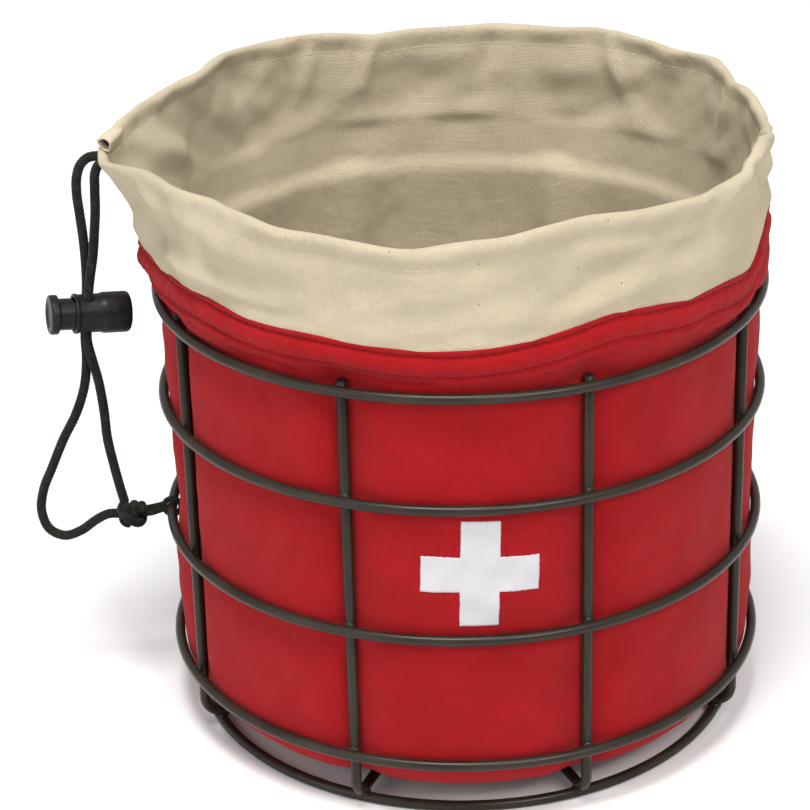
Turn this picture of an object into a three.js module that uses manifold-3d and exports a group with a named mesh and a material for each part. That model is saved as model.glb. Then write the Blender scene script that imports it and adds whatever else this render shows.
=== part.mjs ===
// A cotton bag for potatoes, standing in the round wire basket that holds it open, with its drawcord.
// Millimetres, +Z up. The origin lies on the table under the middle of the basket and bag's outline.
// Inside the assembly the basket's axis is x = 0, y = 0. Heights are counted from the table.
// Angles are degrees from the front (-Y) towards the right (+X).
import * as THREE from "three";
import { mergeVertices } from "three/addons/utils/BufferGeometryUtils.js";
import Module from "manifold-3d";

const wasm = await Module();
wasm.setup();

// Clearance between pieces that touch
const clearance = 0.3;

// Wire basket
const wireDiameter = 3.1;
const wireSides = 8;
const weldBite = 0.5;
const hoopRadius = 90;
const hoopSegments = 32;
const hoopHeights = [20.2, 61.6, 102.7, 136.4];
const baseRingInset = 5;
const innerRingRadius = 22;
const innerRingSegments = 16;
const rodCount = 8;
const rodTurn = 0.75;
const rodTopRise = 2.4;
const footBend = 6;
const footBendSteps = 3;

// Cloth
const clothThickness = 1.2;
const clothSegments = 48;
const floorCorner = 12;
const floorCornerSteps = 2;
const creaseWidth = 8;
const flareHeight = 9;
const brimOverhang = 1;
const seamHeight = 150;
const rimHeight = 183;
const brimWave = 5;
const seamStep = 0.4;

// Hem that carries the drawcord, and the point that the cord pulls it into
const hemHeight = 6;
const hemSwell = 0.5;
const hemRound = 1;
const pinchReach = 17.5;
const pinchSoftness = 1.5;
const eyeletWidth = 7.4;
const eyeletHeight = 6.2;
const eyeletDrop = 4.6;
const eyeletSides = 16;

// Cord lock
const barrelLength = 17.2;
const barrelDiameter = 12.5;
const barrelNeckDiameter = 12;
const barrelNeckLength = 9;
const barrelRound = 1;
const barrelEndWall = 2;
const plungerDiameter = 9.6;
const plungerFit = 0.35;
const plungerHeadDiameter = 12;
const plungerHeadThickness = 2.6;
const plungerHeadRound = 0.6;
const plungerTravel = 3;
const plungerHeadGap = 4.8;
const plungerTip = 2.5;
const cordHoleFromMouth = 4.2;
const lockSides = 16;
const lockTurn = 19;
const lockDip = 6;
const lockOutFromHoop = 22.2;
const lockHeight = 124.5;

// Drawcord, its knot and the loop that ties it to a hoop
const cordDiameter = 3;
const cordSides = 8;
const cordSteps = 28;
const tieCordDiameter = 2.4;
const tieAngle = -86.25;
const tieHoop = 1;
const tieSteps = 6;
const tieWrapFrom = 130;
const tieWrapTo = -10;
const tieRootInset = 1.9;
const tieRootSpread = 0.6;
const knotLength = 7.6;
const knotCoreDiameter = 5;
const knotWrapDiameter = 3.1;
const knotWrapRadius = 2.4;
const knotFromHoop = 12.4;
const knotDrop = 2.4;
const knotTailLength = 5;
const knotTailDrop = 1;
const knotSides = 8;
const dentWidth = 12;
const dentMargin = 1.4;

// Waves of the seam and the rim: angle, and rise as a share of brimWave
const brimRows = [
  { at: -180, seam: 0.2, rim: 0.3 },
  { at: -160, seam: 0.2, rim: 0.6 },
  { at: -140, seam: 0.2, rim: 0.75 },
  { at: -122, seam: 0.1, rim: 0.75 },
  { at: -110, seam: 0, rim: 0.5 },
  { at: -100, seam: -0.2, rim: -0.1 },
  { at: -90, seam: -0.4, rim: -1.1 },
  { at: -80, seam: -0.3, rim: -0.75 },
  { at: -70, seam: -0.1, rim: 0 },
  { at: -58, seam: 0.3, rim: 0.4 },
  { at: -45, seam: 0.4, rim: 0.45 },
  { at: -30, seam: 0.4, rim: 0 },
  { at: -18, seam: 0.15, rim: -0.35 },
  { at: -7, seam: 0, rim: -0.6 },
  { at: 4, seam: 0.1, rim: -0.2 },
  { at: 14, seam: 0.5, rim: 0.1 },
  { at: 28, seam: 1.25, rim: 0.4 },
  { at: 42, seam: 0.8, rim: 0.3 },
  { at: 56, seam: 0.3, rim: 0.2 },
  { at: 71, seam: -0.2, rim: 0 },
  { at: 90, seam: 0.5, rim: -0.35 },
  { at: 112, seam: 0.4, rim: 0.45 },
  { at: 135, seam: 0.3, rim: 0.35 },
  { at: 158, seam: 0.2, rim: 0.3 },
];

// Routes of the two strands, x and y from the basket's axis and z from the table, chosen by hand
const leftStrandRoute = [
  [-103.4, 1.75, 173.5],
  [-105.8, 1.75, 173.9],
  [-108.5, 1.65, 173.4],
  [-110.8, 1.5, 171.2],
  [-112.1, 1.4, 167.6],
  [-112.5, 1.4, 162.6],
  [-112.1, 1.5, 155.5],
  [-111.7, 1.65, 148],
  [-111.6, 1.7, 140],
  [-111.9, 1.69, 132.46],
  [-112.69, 1.42, 124.5],
  [-113.48, 1.15, 116.54],
  [-114.4, 0.8, 109],
  [-116.2, 0.4, 100],
  [-119.1, 0, 90.8],
  [-122.6, -0.6, 82.6],
  [-126.6, -1.2, 73.6],
  [-129.9, -1.8, 66],
  [-131, -2.4, 58.8],
  [-128.9, -3.1, 52.9],
  [-124.2, -3.8, 50.9],
  [-118.8, -4.5, 53],
  [-113.9, -5.2, 56.9],
  [-109.8, -5.7, 59.2],
  [-106.6, -5.85, 59.3],
];
const rightStrandRoute = [
  [-103.2, -1.7, 173.6],
  [-105, -1.7, 172.3],
  [-106.2, -1.65, 169.7],
  [-106.6, -1.55, 165],
  [-107, -1.45, 158],
  [-107.8, -1.3, 151],
  [-108.9, -1.15, 143],
  [-110.1, -1.12, 137],
  [-110.92, -1.15, 132.46],
  [-111.71, -1.42, 124.5],
  [-112.5, -1.69, 116.54],
  [-112.2, -2.05, 110.5],
  [-111.2, -2.5, 102.5],
  [-109.9, -2.95, 93.5],
  [-108.5, -3.6, 84],
  [-107, -4.4, 75],
  [-105.6, -5.1, 68],
  [-104.4, -5.6, 63.9],
];

// Sizes that follow from the ones above
const wireRadius = wireDiameter / 2;
const wireFlat = wireRadius * Math.cos(Math.PI / wireSides);
const weldedPitch = wireDiameter - weldBite;
const rodRingRadius = hoopRadius - weldedPitch;
const baseRingRadius = rodRingRadius - baseRingInset;
const brimRadius = hoopRadius + brimOverhang;
const footHeight = wireFlat + weldedPitch;
const hoopTop = hoopHeights[hoopHeights.length - 1];
const rodTop = hoopTop + rodTopRise;
const rodPitch = 360 / rodCount;
const pinchAngle = rodTurn - 90;
const bagFloor = footHeight + wireRadius + clearance;
const snugAtRods = rodRingRadius - wireRadius - clearance;
const snugAtHoops = (hoopRadius - wireFlat) * Math.cos(Math.PI / hoopSegments) - clearance;
const cageTop = rodTop + clearance;
const liningDepth = clothThickness + clearance;
const liningInside = liningDepth + clothThickness;
const tieOffset = wireRadius + clearance + tieCordDiameter / 2;
const tieHeight = hoopHeights[tieHoop];
const dentDepth = snugAtHoops - (hoopRadius - tieOffset - tieCordDiameter / 2 - clearance) + dentMargin;
const lockHoleX = -(hoopRadius + lockOutFromHoop);
const knotX = -(hoopRadius + knotFromHoop);
const tieY = -hoopRadius * Math.cos(THREE.MathUtils.degToRad(tieAngle));
const tieX = hoopRadius * Math.sin(THREE.MathUtils.degToRad(tieAngle));
const knotHeight = tieHeight - knotDrop;

const paint = {
  wire: new THREE.MeshStandardMaterial({ color: 0x48463e, roughness: 0.42, metalness: 0.7 }),
  red: new THREE.MeshStandardMaterial({ color: 0xb02026, roughness: 0.9, metalness: 0 }),
  cream: new THREE.MeshStandardMaterial({ color: 0xd8d0b6, roughness: 0.92, metalness: 0 }),
  cord: new THREE.MeshStandardMaterial({ color: 0x1e201c, roughness: 0.85, metalness: 0 }),
  lock: new THREE.MeshStandardMaterial({ color: 0x232123, roughness: 0.45, metalness: 0 }),
};

// A curve whose equal steps fall on the given points, so that a sweep bends only where they lie.
class StationCurve extends THREE.Curve {
  constructor(stations) {
    super();
    this.stations = stations;
  }

  getPoint(t) {
    const place = Math.min(Math.max(t, 0), 1) * (this.stations.length - 1);
    const from = Math.min(Math.floor(place), this.stations.length - 2);
    return this.stations[from].clone().lerp(this.stations[from + 1], place - from);
  }

  getPointAt(u) {
    return this.getPoint(u);
  }

  getTangentAt(u) {
    const last = this.stations.length - 1;
    const index = Math.round(u * last);
    const before = this.stations[Math.max(index - 1, 0)];
    const after = this.stations[Math.min(index + 1, last)];
    return after.clone().sub(before).normalize();
  }
}

// Turns a closed geometry into a solid that can be joined and cut.
function solidOf(geometry) {
  const bare = geometry.clone();
  bare.deleteAttribute("normal");
  bare.deleteAttribute("uv");
  const merged = mergeVertices(bare, 1e-4);
  return new wasm.Manifold(
    new wasm.Mesh({
      numProp: 3,
      vertProperties: merged.attributes.position.array,
      triVerts: new Uint32Array(merged.index.array),
    }),
  );
}

// Turns a solid back into a geometry.
function geometryOf(solid) {
  const mesh = solid.getMesh();
  const geometry = new THREE.BufferGeometry();
  geometry.setAttribute("position", new THREE.Float32BufferAttribute(mesh.vertProperties, 3));
  geometry.setIndex(Array.from(mesh.triVerts));
  geometry.computeVertexNormals();
  return geometry;
}

// Joins overlapping solids into one.
function join(solids) {
  return solids.reduce((whole, next) => whole.add(next));
}

// The point at an angle from the front, a radius and a height.
function polar(angle, radius, height) {
  const turn = THREE.MathUtils.degToRad(angle);
  return new THREE.Vector3(radius * Math.sin(turn), -radius * Math.cos(turn), height);
}

// A regular polygon with a flat on each axis, as a list of points.
function roundSection(diameter, sides) {
  return Array.from({ length: sides }, (_, i) => {
    const turn = ((i + 0.5) * 2 * Math.PI) / sides;
    return new THREE.Vector2(Math.cos(turn), Math.sin(turn)).multiplyScalar(diameter / 2);
  });
}

// A rod or cord swept along a curve.
function sweep(curve, steps, diameter, sides) {
  return new THREE.ExtrudeGeometry(new THREE.Shape(roundSection(diameter, sides)), {
    steps,
    extrudePath: curve,
    bevelEnabled: false,
  });
}

// A closed wire ring about the basket's axis.
function wireRing(radius, height, segments, firstAngle) {
  const centre = new THREE.Vector2(radius, height);
  const section = roundSection(wireDiameter, wireSides).map((point) => point.add(centre));
  section.push(section[0].clone());
  const start = THREE.MathUtils.degToRad(firstAngle);
  return new THREE.LatheGeometry(section, segments, start).rotateX(Math.PI / 2);
}

// One upright rod, bent inwards under the bag and ending on the inner ring.
function basketRod(angle) {
  const bendRadius = rodRingRadius - footBend;
  const stations = [polar(angle, rodRingRadius, rodTop)];
  for (let i = 0; i <= footBendSteps; i += 1) {
    const turn = (i / footBendSteps) * (Math.PI / 2);
    const radius = bendRadius + footBend * Math.cos(turn);
    stations.push(polar(angle, radius, footHeight + footBend * (1 - Math.sin(turn))));
  }
  stations.push(polar(angle, innerRingRadius - wireRadius, footHeight));
  return sweep(new StationCurve(stations), stations.length - 1, wireDiameter, wireSides);
}

// Hoops, base rings and rods, welded into one piece.
function basketSolid() {
  const rings = hoopHeights.map((height) => wireRing(hoopRadius, height, hoopSegments, tieAngle));
  rings.push(wireRing(baseRingRadius, wireFlat, hoopSegments, tieAngle));
  rings.push(wireRing(innerRingRadius, wireFlat, innerRingSegments, tieAngle));
  const rods = Array.from({ length: rodCount }, (_, i) => basketRod(rodTurn + (i + 0.5) * rodPitch));
  return join([...rings, ...rods].map(solidOf));
}

// The smallest turn between two angles.
function turnBetween(a, b) {
  return Math.abs(THREE.MathUtils.euclideanModulo(a - b + 180, 360) - 180);
}

// Reads a column of brimRows at any angle, with smooth steps between the rows.
function brimRise(angle, column) {
  const turn = THREE.MathUtils.euclideanModulo(angle + 180, 360) - 180;
  const next = brimRows.findIndex((row) => row.at > turn);
  const after = next < 0 ? { ...brimRows[0], at: brimRows[0].at + 360 } : brimRows[next];
  const before = brimRows[(next < 0 ? brimRows.length : next) - 1];
  const share = THREE.MathUtils.smoothstep(turn, before.at, after.at);
  return brimWave * THREE.MathUtils.lerp(before[column], after[column], share);
}

function seamAt(angle) {
  return seamHeight + brimRise(angle, "seam");
}

function rimAt(angle) {
  return rimHeight + brimRise(angle, "rim");
}

// How far the cloth is drawn out towards the pinch, as the radius of a drop-shaped outline.
function dropRadius(angle, height) {
  const climb = Math.max(0, (height - cageTop) / (rimAt(pinchAngle) - cageTop));
  const reach = pinchReach * Math.min(climb, 1);
  const tangent = Math.acos(brimRadius / (brimRadius + reach));
  const away = THREE.MathUtils.degToRad(Math.hypot(turnBetween(angle, pinchAngle), pinchSoftness));
  return brimRadius / Math.cos(Math.max(0, tangent - away));
}

// The dent where the drawcord's loop passes between the hoop and the cloth.
function tieDent(angle, height) {
  const across = THREE.MathUtils.degToRad(turnBetween(angle, tieAngle)) * hoopRadius;
  const up = height - tieHeight;
  return dentDepth * Math.exp(-(across * across + up * up) / (dentWidth * dentWidth));
}

// The turn from an angle to the nearest rod.
function turnFromRod(angle) {
  const place = (angle - rodTurn) / rodPitch - 0.5;
  return Math.abs(place - Math.round(place)) * rodPitch;
}

// Outer radius of the bag: held in by each rod, full between them, and flaring above the basket.
function bagRadius(angle, height) {
  const arc = THREE.MathUtils.degToRad(turnFromRod(angle)) * rodRingRadius;
  const fullness = 1 - Math.exp(-((arc / creaseWidth) ** 2));
  const caged = THREE.MathUtils.lerp(snugAtRods, snugAtHoops, fullness);
  const free = THREE.MathUtils.smoothstep(height, cageTop, cageTop + flareHeight);
  return THREE.MathUtils.lerp(caged, dropRadius(angle, height), free) - tieDent(angle, height);
}

// A row of the cloth at a height: the face, and how its normal tilts from level to straight down.
function wallRow(heightAt) {
  return (angle) => ({ radius: bagRadius(angle, heightAt(angle)), height: heightAt(angle), tilt: 0 });
}

function floorRow(share) {
  return (angle) => {
    const edge = bagRadius(angle, bagFloor + floorCorner) - floorCorner;
    return { radius: share * edge, height: bagFloor, tilt: Math.PI / 2 };
  };
}

function cornerRow(share) {
  const tilt = (1 - share) * (Math.PI / 2);
  return (angle) => ({
    radius: bagRadius(angle, bagFloor + floorCorner) - floorCorner * (1 - Math.cos(tilt)),
    height: bagFloor + floorCorner * (1 - Math.sin(tilt)),
    tilt,
  });
}

// Rows from the middle of the floor to the top of the basket, shared by bag and lining.
function cageRows() {
  const rows = [floorRow(0), floorRow(1)];
  for (let i = 1; i <= floorCornerSteps; i += 1) rows.push(cornerRow(i / floorCornerSteps));
  rows.push(wallRow(() => tieHeight - dentWidth));
  rows.push(wallRow(() => tieHeight));
  rows.push(wallRow(() => tieHeight + dentWidth));
  rows.push(wallRow(() => hoopTop));
  rows.push(wallRow(() => cageTop));
  rows.push(wallRow(() => cageTop + flareHeight / 2));
  return rows;
}

// Closes a skin through rings that start and end on the axis, outer face first.
// Both faces split their quads along the same diagonal, so that nested skins stay clear of each other.
function closedSkin(outside, inside) {
  const rings = [...outside, ...inside];
  const positions = [];
  const index = [];
  const ringStart = (ring) => 1 + (ring - 1) * clothSegments;
  rings.forEach((ring, i) => {
    const onAxis = i === 0 || i === rings.length - 1;
    const count = onAxis ? 1 : clothSegments;
    for (let k = 0; k < count; k += 1) {
      const angle = rodTurn + (k * 360) / clothSegments + rodPitch / 2;
      const { row, depth } = ring;
      const { radius, height, tilt } = row(angle);
      const inset = onAxis ? 0 : radius - depth * Math.cos(tilt);
      positions.push(...polar(angle, inset, height + depth * Math.sin(tilt)));
    }
  });
  const end = positions.length / 3 - 1;
  for (let k = 0; k < clothSegments; k += 1) {
    const next = (k + 1) % clothSegments;
    index.push(0, ringStart(1) + next, ringStart(1) + k);
    for (let i = 1; i < rings.length - 2; i += 1) {
      const [a, b] = [ringStart(i) + k, ringStart(i) + next];
      const [c, d] = [ringStart(i + 1) + k, ringStart(i + 1) + next];
      index.push(...(i < outside.length ? [a, b, d, a, d, c] : [a, b, c, b, d, c]));
    }
    index.push(end, ringStart(rings.length - 2) + k, ringStart(rings.length - 2) + next);
  }
  const geometry = new THREE.BufferGeometry();
  geometry.setAttribute("position", new THREE.Float32BufferAttribute(positions, 3));
  geometry.setIndex(index);
  geometry.computeVertexNormals();
  return geometry;
}

// Gives each row the depth of its face under the bag's outer face.
function at(depth, rows) {
  return rows.map((row) => ({ row, depth }));
}

// The red outer bag: floor, sides and the hemmed top edge.
function outerBag() {
  const rows = [...cageRows(), wallRow(seamAt)];
  return closedSkin(at(0, rows), at(clothThickness, [...rows].reverse()));
}

// The cream lining, which rises above the bag as a cuff and ends in the hem with the cord inside.
function liningSkin() {
  const cuffFoot = (angle) => seamAt(angle) + clearance;
  const hemLine = (angle) => rimAt(angle) - hemHeight;
  const hemMiddle = (angle) => rimAt(angle) - hemHeight / 2;
  const hemShoulder = (angle) => rimAt(angle) - hemRound;
  const cuffMiddle = (angle) => (cuffFoot(angle) + hemLine(angle)) / 2;
  const hemInside = liningInside + hemSwell;
  const outside = [
    ...at(liningDepth, [...cageRows(), wallRow(cuffFoot)]),
    ...at(seamStep, [wallRow(cuffFoot), wallRow(cuffMiddle), wallRow(hemLine)]),
    ...at(seamStep - hemSwell, [wallRow(hemMiddle)]),
    ...at(seamStep, [wallRow(hemShoulder)]),
    ...at((seamStep + liningInside) / 2, [wallRow(rimAt)]),
  ];
  const inside = [
    ...at(liningInside, [wallRow(hemShoulder)]),
    ...at(hemInside, [wallRow(hemMiddle)]),
    ...at(liningInside, [wallRow(hemLine), wallRow(cuffMiddle), wallRow(seamAt), ...cageRows().reverse()]),
  ];
  return closedSkin(outside, inside);
}

// The lining with the eyelet that lets both strands out of the hem at the pinch.
function liningSolid() {
  const tip = rimAt(pinchAngle) - eyeletDrop;
  const bore = new THREE.ExtrudeGeometry(new THREE.Shape(eyeletSection()), {
    depth: pinchReach,
    bevelEnabled: false,
  });
  bore.rotateX(Math.PI / 2).rotateZ(Math.PI / 2);
  bore.translate(-dropRadius(pinchAngle, tip) - pinchReach / 2, 0, tip);
  return solidOf(liningSkin()).subtract(solidOf(bore));
}

// The eyelet's outline, an oval squared up so that both strands pass side by side.
function eyeletSection() {
  const squared = (share) => Math.sign(share) * Math.sqrt(Math.abs(share));
  return roundSection(2, eyeletSides).map(
    (p) => new THREE.Vector2((squared(p.x) * eyeletWidth) / 2, (squared(p.y) * eyeletHeight) / 2),
  );
}

// A solid turned about local X from a profile of [along, radius] pairs that starts and ends on the axis.
function turned(profile) {
  const points = profile.map(([along, radius]) => new THREE.Vector2(radius, along));
  return new THREE.LatheGeometry(points, lockSides).rotateZ(-Math.PI / 2);
}

// A box across the lock that the two strands pass through, in the lock's own frame.
function cordSlot(from, to, height) {
  const width = 2 * (cordDiameter + clearance);
  const box = new THREE.BoxGeometry(to - from, width, height);
  return solidOf(box.translate((from + to) / 2, 0, 0));
}

// The barrel: local X runs from its open mouth at the left to its closed end, x = 0 at the cord hole.
function barrelSolid() {
  const mouth = -cordHoleFromMouth;
  const end = mouth + barrelLength;
  const outer = barrelDiameter / 2;
  const neck = barrelNeckDiameter / 2;
  const bore = plungerDiameter / 2 + plungerFit;
  const body = turned([
    [end - barrelEndWall, 0],
    [end - barrelEndWall, bore],
    [mouth, bore],
    [mouth, neck - barrelRound / 2],
    [mouth + barrelRound / 2, neck],
    [mouth + barrelNeckLength - barrelRound, neck],
    [mouth + barrelNeckLength, outer],
    [end - barrelRound, outer],
    [end, outer - barrelRound],
    [end, 0],
  ]);
  const reach = cordDiameter / 2 + clearance;
  return solidOf(body).subtract(cordSlot(-reach, reach, 2 * barrelDiameter));
}

// The plunger at rest: its head stands clear of the mouth and its slot lets it slide past the strands.
function plungerSolid() {
  const mouth = -cordHoleFromMouth;
  const headIn = mouth - plungerHeadGap;
  const headOut = headIn - plungerHeadThickness;
  const reach = cordDiameter / 2 + clearance;
  const neck = plungerDiameter / 2;
  const head = plungerHeadDiameter / 2;
  const body = turned([
    [headOut, 0],
    [headOut, head - plungerHeadRound],
    [headOut + plungerHeadRound, head],
    [headIn, head],
    [headIn, neck],
    [reach + plungerTip, neck],
    [reach + plungerTip, 0],
  ]);
  return solidOf(body).subtract(cordSlot(-reach - plungerTravel, reach, 2 * barrelDiameter));
}

// A strand of the drawcord along its route.
function strand(route) {
  const points = route.map(([x, y, z]) => new THREE.Vector3(x, y, z));
  const curve = new THREE.CatmullRomCurve3(points, false, "centripetal");
  return sweep(curve, cordSteps, cordDiameter, cordSides);
}

// One half of the loop: from the knot, over or under the hoop, to the far side of its wire.
function tieHalf(side) {
  const stations = [new THREE.Vector3(knotX + tieRootInset, tieY, knotHeight + side * tieRootSpread)];
  for (let i = 0; i <= tieSteps; i += 1) {
    const turn = THREE.MathUtils.degToRad(THREE.MathUtils.lerp(tieWrapFrom, tieWrapTo, i / tieSteps));
    const out = tieOffset * Math.cos(turn);
    const up = side * tieOffset * Math.sin(turn);
    stations.push(new THREE.Vector3(tieX + out, tieY, tieHeight + up));
  }
  return sweep(new StationCurve(stations), stations.length - 1, tieCordDiameter, cordSides);
}

// The knot that ends both strands, with its short tail and the loop round the hoop.
function knotSolid() {
  const core = new THREE.CylinderGeometry(knotCoreDiameter / 2, knotCoreDiameter / 2, knotLength, knotSides);
  core.rotateZ(Math.PI / 2).translate(knotX, tieY, knotHeight);
  const wraps = [-1, 1].map((side) => {
    const wrap = new THREE.TorusGeometry(knotWrapRadius, knotWrapDiameter / 2, cordSides, knotSides);
    return wrap.rotateY(Math.PI / 2).translate(knotX + (side * knotWrapDiameter) / 2, tieY, knotHeight);
  });
  const tailRadius = tieCordDiameter / 2;
  const tail = new THREE.CylinderGeometry(tailRadius, tailRadius, knotTailLength, cordSides);
  const tailHeight = knotHeight - knotTailDrop - knotTailLength / 2;
  tail.rotateX(Math.PI / 2).translate(knotX - knotWrapDiameter / 2, tieY, tailHeight);
  return join([core, ...wraps, tail, tieHalf(1), tieHalf(-1)].map(solidOf));
}

// Makes a named mesh.
function piece(name, geometry, material) {
  const mesh = new THREE.Mesh(geometry, material);
  mesh.name = name;
  return mesh;
}

const assembly = new THREE.Group();
assembly.add(
  piece("wire_basket", geometryOf(basketSolid()), paint.wire),
  piece("bag_outer", outerBag(), paint.red),
  piece("bag_lining", geometryOf(liningSolid()), paint.cream),
);

// The origin is the middle of the basket and bag, without the drawcord and its lock.
const outline = new THREE.Box3().setFromObject(assembly);
const middle = outline.getCenter(new THREE.Vector3());

const cordLock = new THREE.Group();
cordLock.position.set(lockHoleX, 0, lockHeight);
cordLock.rotation.set(0, THREE.MathUtils.degToRad(lockDip), THREE.MathUtils.degToRad(lockTurn), "ZYX");
cordLock.add(
  piece("lock_barrel", geometryOf(barrelSolid()), paint.lock),
  piece("lock_plunger", geometryOf(plungerSolid()), paint.lock),
);
assembly.add(
  cordLock,
  piece("draw_cord_left", strand(leftStrandRoute), paint.cord),
  piece("draw_cord_right", strand(rightStrandRoute), paint.cord),
  piece("cord_knot", geometryOf(knotSolid()), paint.cord),
);
assembly.position.set(-middle.x, -middle.y, 0);

const root = new THREE.Group();
root.add(assembly);

export default root;
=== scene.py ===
"""A round cotton storage bag in the wire basket that holds it open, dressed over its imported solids.

Lengths are metres in the frame's own axes: +Z is up, the photograph's front is -Y, and the pinched rim
with the drawcord points to -X. Angles are degrees from the front towards the right, about the basket's
upright axis.
"""

import logging
import math
from dataclasses import dataclass
from enum import Enum
from typing import NamedTuple

import bpy
import numpy as np
from mathutils import Matrix, Vector


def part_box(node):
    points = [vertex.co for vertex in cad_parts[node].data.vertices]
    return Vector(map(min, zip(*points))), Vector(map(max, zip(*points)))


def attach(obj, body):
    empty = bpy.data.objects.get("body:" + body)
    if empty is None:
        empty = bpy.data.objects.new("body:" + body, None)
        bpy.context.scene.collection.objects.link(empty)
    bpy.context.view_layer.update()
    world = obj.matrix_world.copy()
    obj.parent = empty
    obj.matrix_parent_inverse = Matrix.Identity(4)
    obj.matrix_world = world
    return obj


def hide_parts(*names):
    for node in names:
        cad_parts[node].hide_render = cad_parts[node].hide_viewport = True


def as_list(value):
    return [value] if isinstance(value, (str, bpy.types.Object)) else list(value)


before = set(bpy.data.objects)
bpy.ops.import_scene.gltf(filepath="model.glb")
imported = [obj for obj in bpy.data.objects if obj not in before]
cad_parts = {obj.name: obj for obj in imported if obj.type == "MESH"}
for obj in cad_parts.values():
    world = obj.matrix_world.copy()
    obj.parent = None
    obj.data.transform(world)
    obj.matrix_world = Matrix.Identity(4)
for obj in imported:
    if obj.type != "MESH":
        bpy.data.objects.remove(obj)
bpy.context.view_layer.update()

MM = 0.001
BAG_BODY = "bag_in_basket"
PLUNGER_BODY = "plunger"
THREAD_UV = "Threads"
LOG = logging.getLogger("storage_bag")

Mesh = tuple[np.ndarray, list[tuple[int, ...]]]

BASKET_LOW, BASKET_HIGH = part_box("wire_basket")
AXIS_X = (BASKET_LOW.x + BASKET_HIGH.x) / 2
AXIS_Y = (BASKET_LOW.y + BASKET_HIGH.y) / 2
AXIS_FOOT = np.array([AXIS_X, AXIS_Y, 0.0])
QUARTER = math.pi / 2


class Slot(Enum):
    """The record's material slots, one for each kind of finish; set_down is handed one for each piece but
    does not use it.
    """

    WIRE = "wire"
    RED = "red_cotton"
    CREAM = "cream_cotton"
    PRINT = "cross_print"
    STITCH = "stitching"
    CORD = "cord"
    PLASTIC = "lock_plastic"


class Side(Enum):
    """The two faces of a wall of cloth."""

    OUTER = 1
    INNER = -1


def smooth_step(value: np.ndarray, low: float, high: float) -> np.ndarray:
    """Rises smoothly from 0 where the value is low to 1 where it is high."""
    share = np.clip((value - low) / (high - low), 0.0, 1.0)
    return share * share * (3.0 - 2.0 * share)


def bump(distance: np.ndarray, width: float) -> np.ndarray:
    """A soft round hill of height 1, which has fallen to about a third at the width."""
    return np.exp(-((distance / width) ** 2))


def around(angle: np.ndarray, radius: np.ndarray, height: np.ndarray) -> np.ndarray:
    """Points about the basket's axis.

    Args:
        angle: Degrees from the front towards the right.
        radius: Distance from the axis.
        height: Height above the table.

    Returns:
        An array of points in the frame, with x, y and z last.
    """
    turn = np.radians(angle)
    x = AXIS_X + radius * np.sin(turn)
    y = AXIS_Y - radius * np.cos(turn)
    return np.stack(np.broadcast_arrays(x, y, height), axis=-1)


def angle_between(angle: np.ndarray, other: float) -> np.ndarray:
    """The signed turn from another angle to this one, from -180 to 180 degrees."""
    return (np.asarray(angle) - other + 180.0) % 360.0 - 180.0


def full_turn(count: int) -> np.ndarray:
    """Even steps round a circle, in radians."""
    return np.arange(count) * 2.0 * math.pi / count


def degrees_round(count: int) -> np.ndarray:
    """Even steps round the basket, in degrees from the front."""
    return np.arange(count) * 360.0 / count


def along_line(line: np.ndarray) -> np.ndarray:
    """The distance along a line from its start to each of its points."""
    return np.concatenate([[0.0], np.cumsum(np.linalg.norm(np.diff(line, axis=0), axis=1))])


@dataclass(frozen=True)
class Ripple:
    """Soft relief without a seam, as a sum of waves in many directions.

    Attributes:
        wavelength: The usual distance from crest to crest.
        height: The usual height of a crest.
        seed: Starts the choice of directions.
        waves: How many waves are added.
        upright: How much longer the waves are along Z than across it.
    """

    wavelength: float
    height: float
    seed: int
    waves: int = 14
    upright: float = 1.0

    def at(self, points: np.ndarray) -> np.ndarray:
        """The relief at points.

        Args:
            points: Positions, with x, y and z last.

        Returns:
            A height for each point.
        """
        chance = np.random.default_rng(self.seed)
        total = np.zeros(points.shape[:-1])
        stretch = np.array([1.0, 1.0, 1.0 / self.upright])
        for _ in range(self.waves):
            heading = chance.normal(size=3)
            heading *= stretch / np.linalg.norm(heading)
            pitch = 2.0 * math.pi / (self.wavelength * chance.uniform(0.7, 1.5))
            total += np.sin(points @ heading * pitch + chance.uniform(0.0, 2.0 * math.pi))
        return total * self.height * math.sqrt(2.0 / self.waves)


class NodeTree:
    """A node tree that is built with one short call for each node."""

    def __init__(self, tree: bpy.types.NodeTree) -> None:
        """Takes over a tree to build in."""
        self.tree = tree

    def add(self, kind: str, inputs: dict | None = None, **settings: object) -> bpy.types.Node:
        """Adds a node.

        Args:
            kind: The node's type.
            inputs: A value or a socket for each input, by name or number.
            **settings: The node's own settings.

        Returns:
            The node.
        """
        node = self.tree.nodes.new(kind)
        for name, value in settings.items():
            setattr(node, name, value)
        for name, value in (inputs or {}).items():
            self.feed(node.inputs[name], value)
        return node

    def feed(self, socket: bpy.types.NodeSocket, value: object) -> None:
        """Links a socket to an input, or sets the input's value.

        Args:
            socket: The input.
            value: A socket or a plain value.
        """
        if isinstance(value, bpy.types.NodeSocket):
            self.tree.links.new(value, socket)
        else:
            socket.default_value = value


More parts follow.
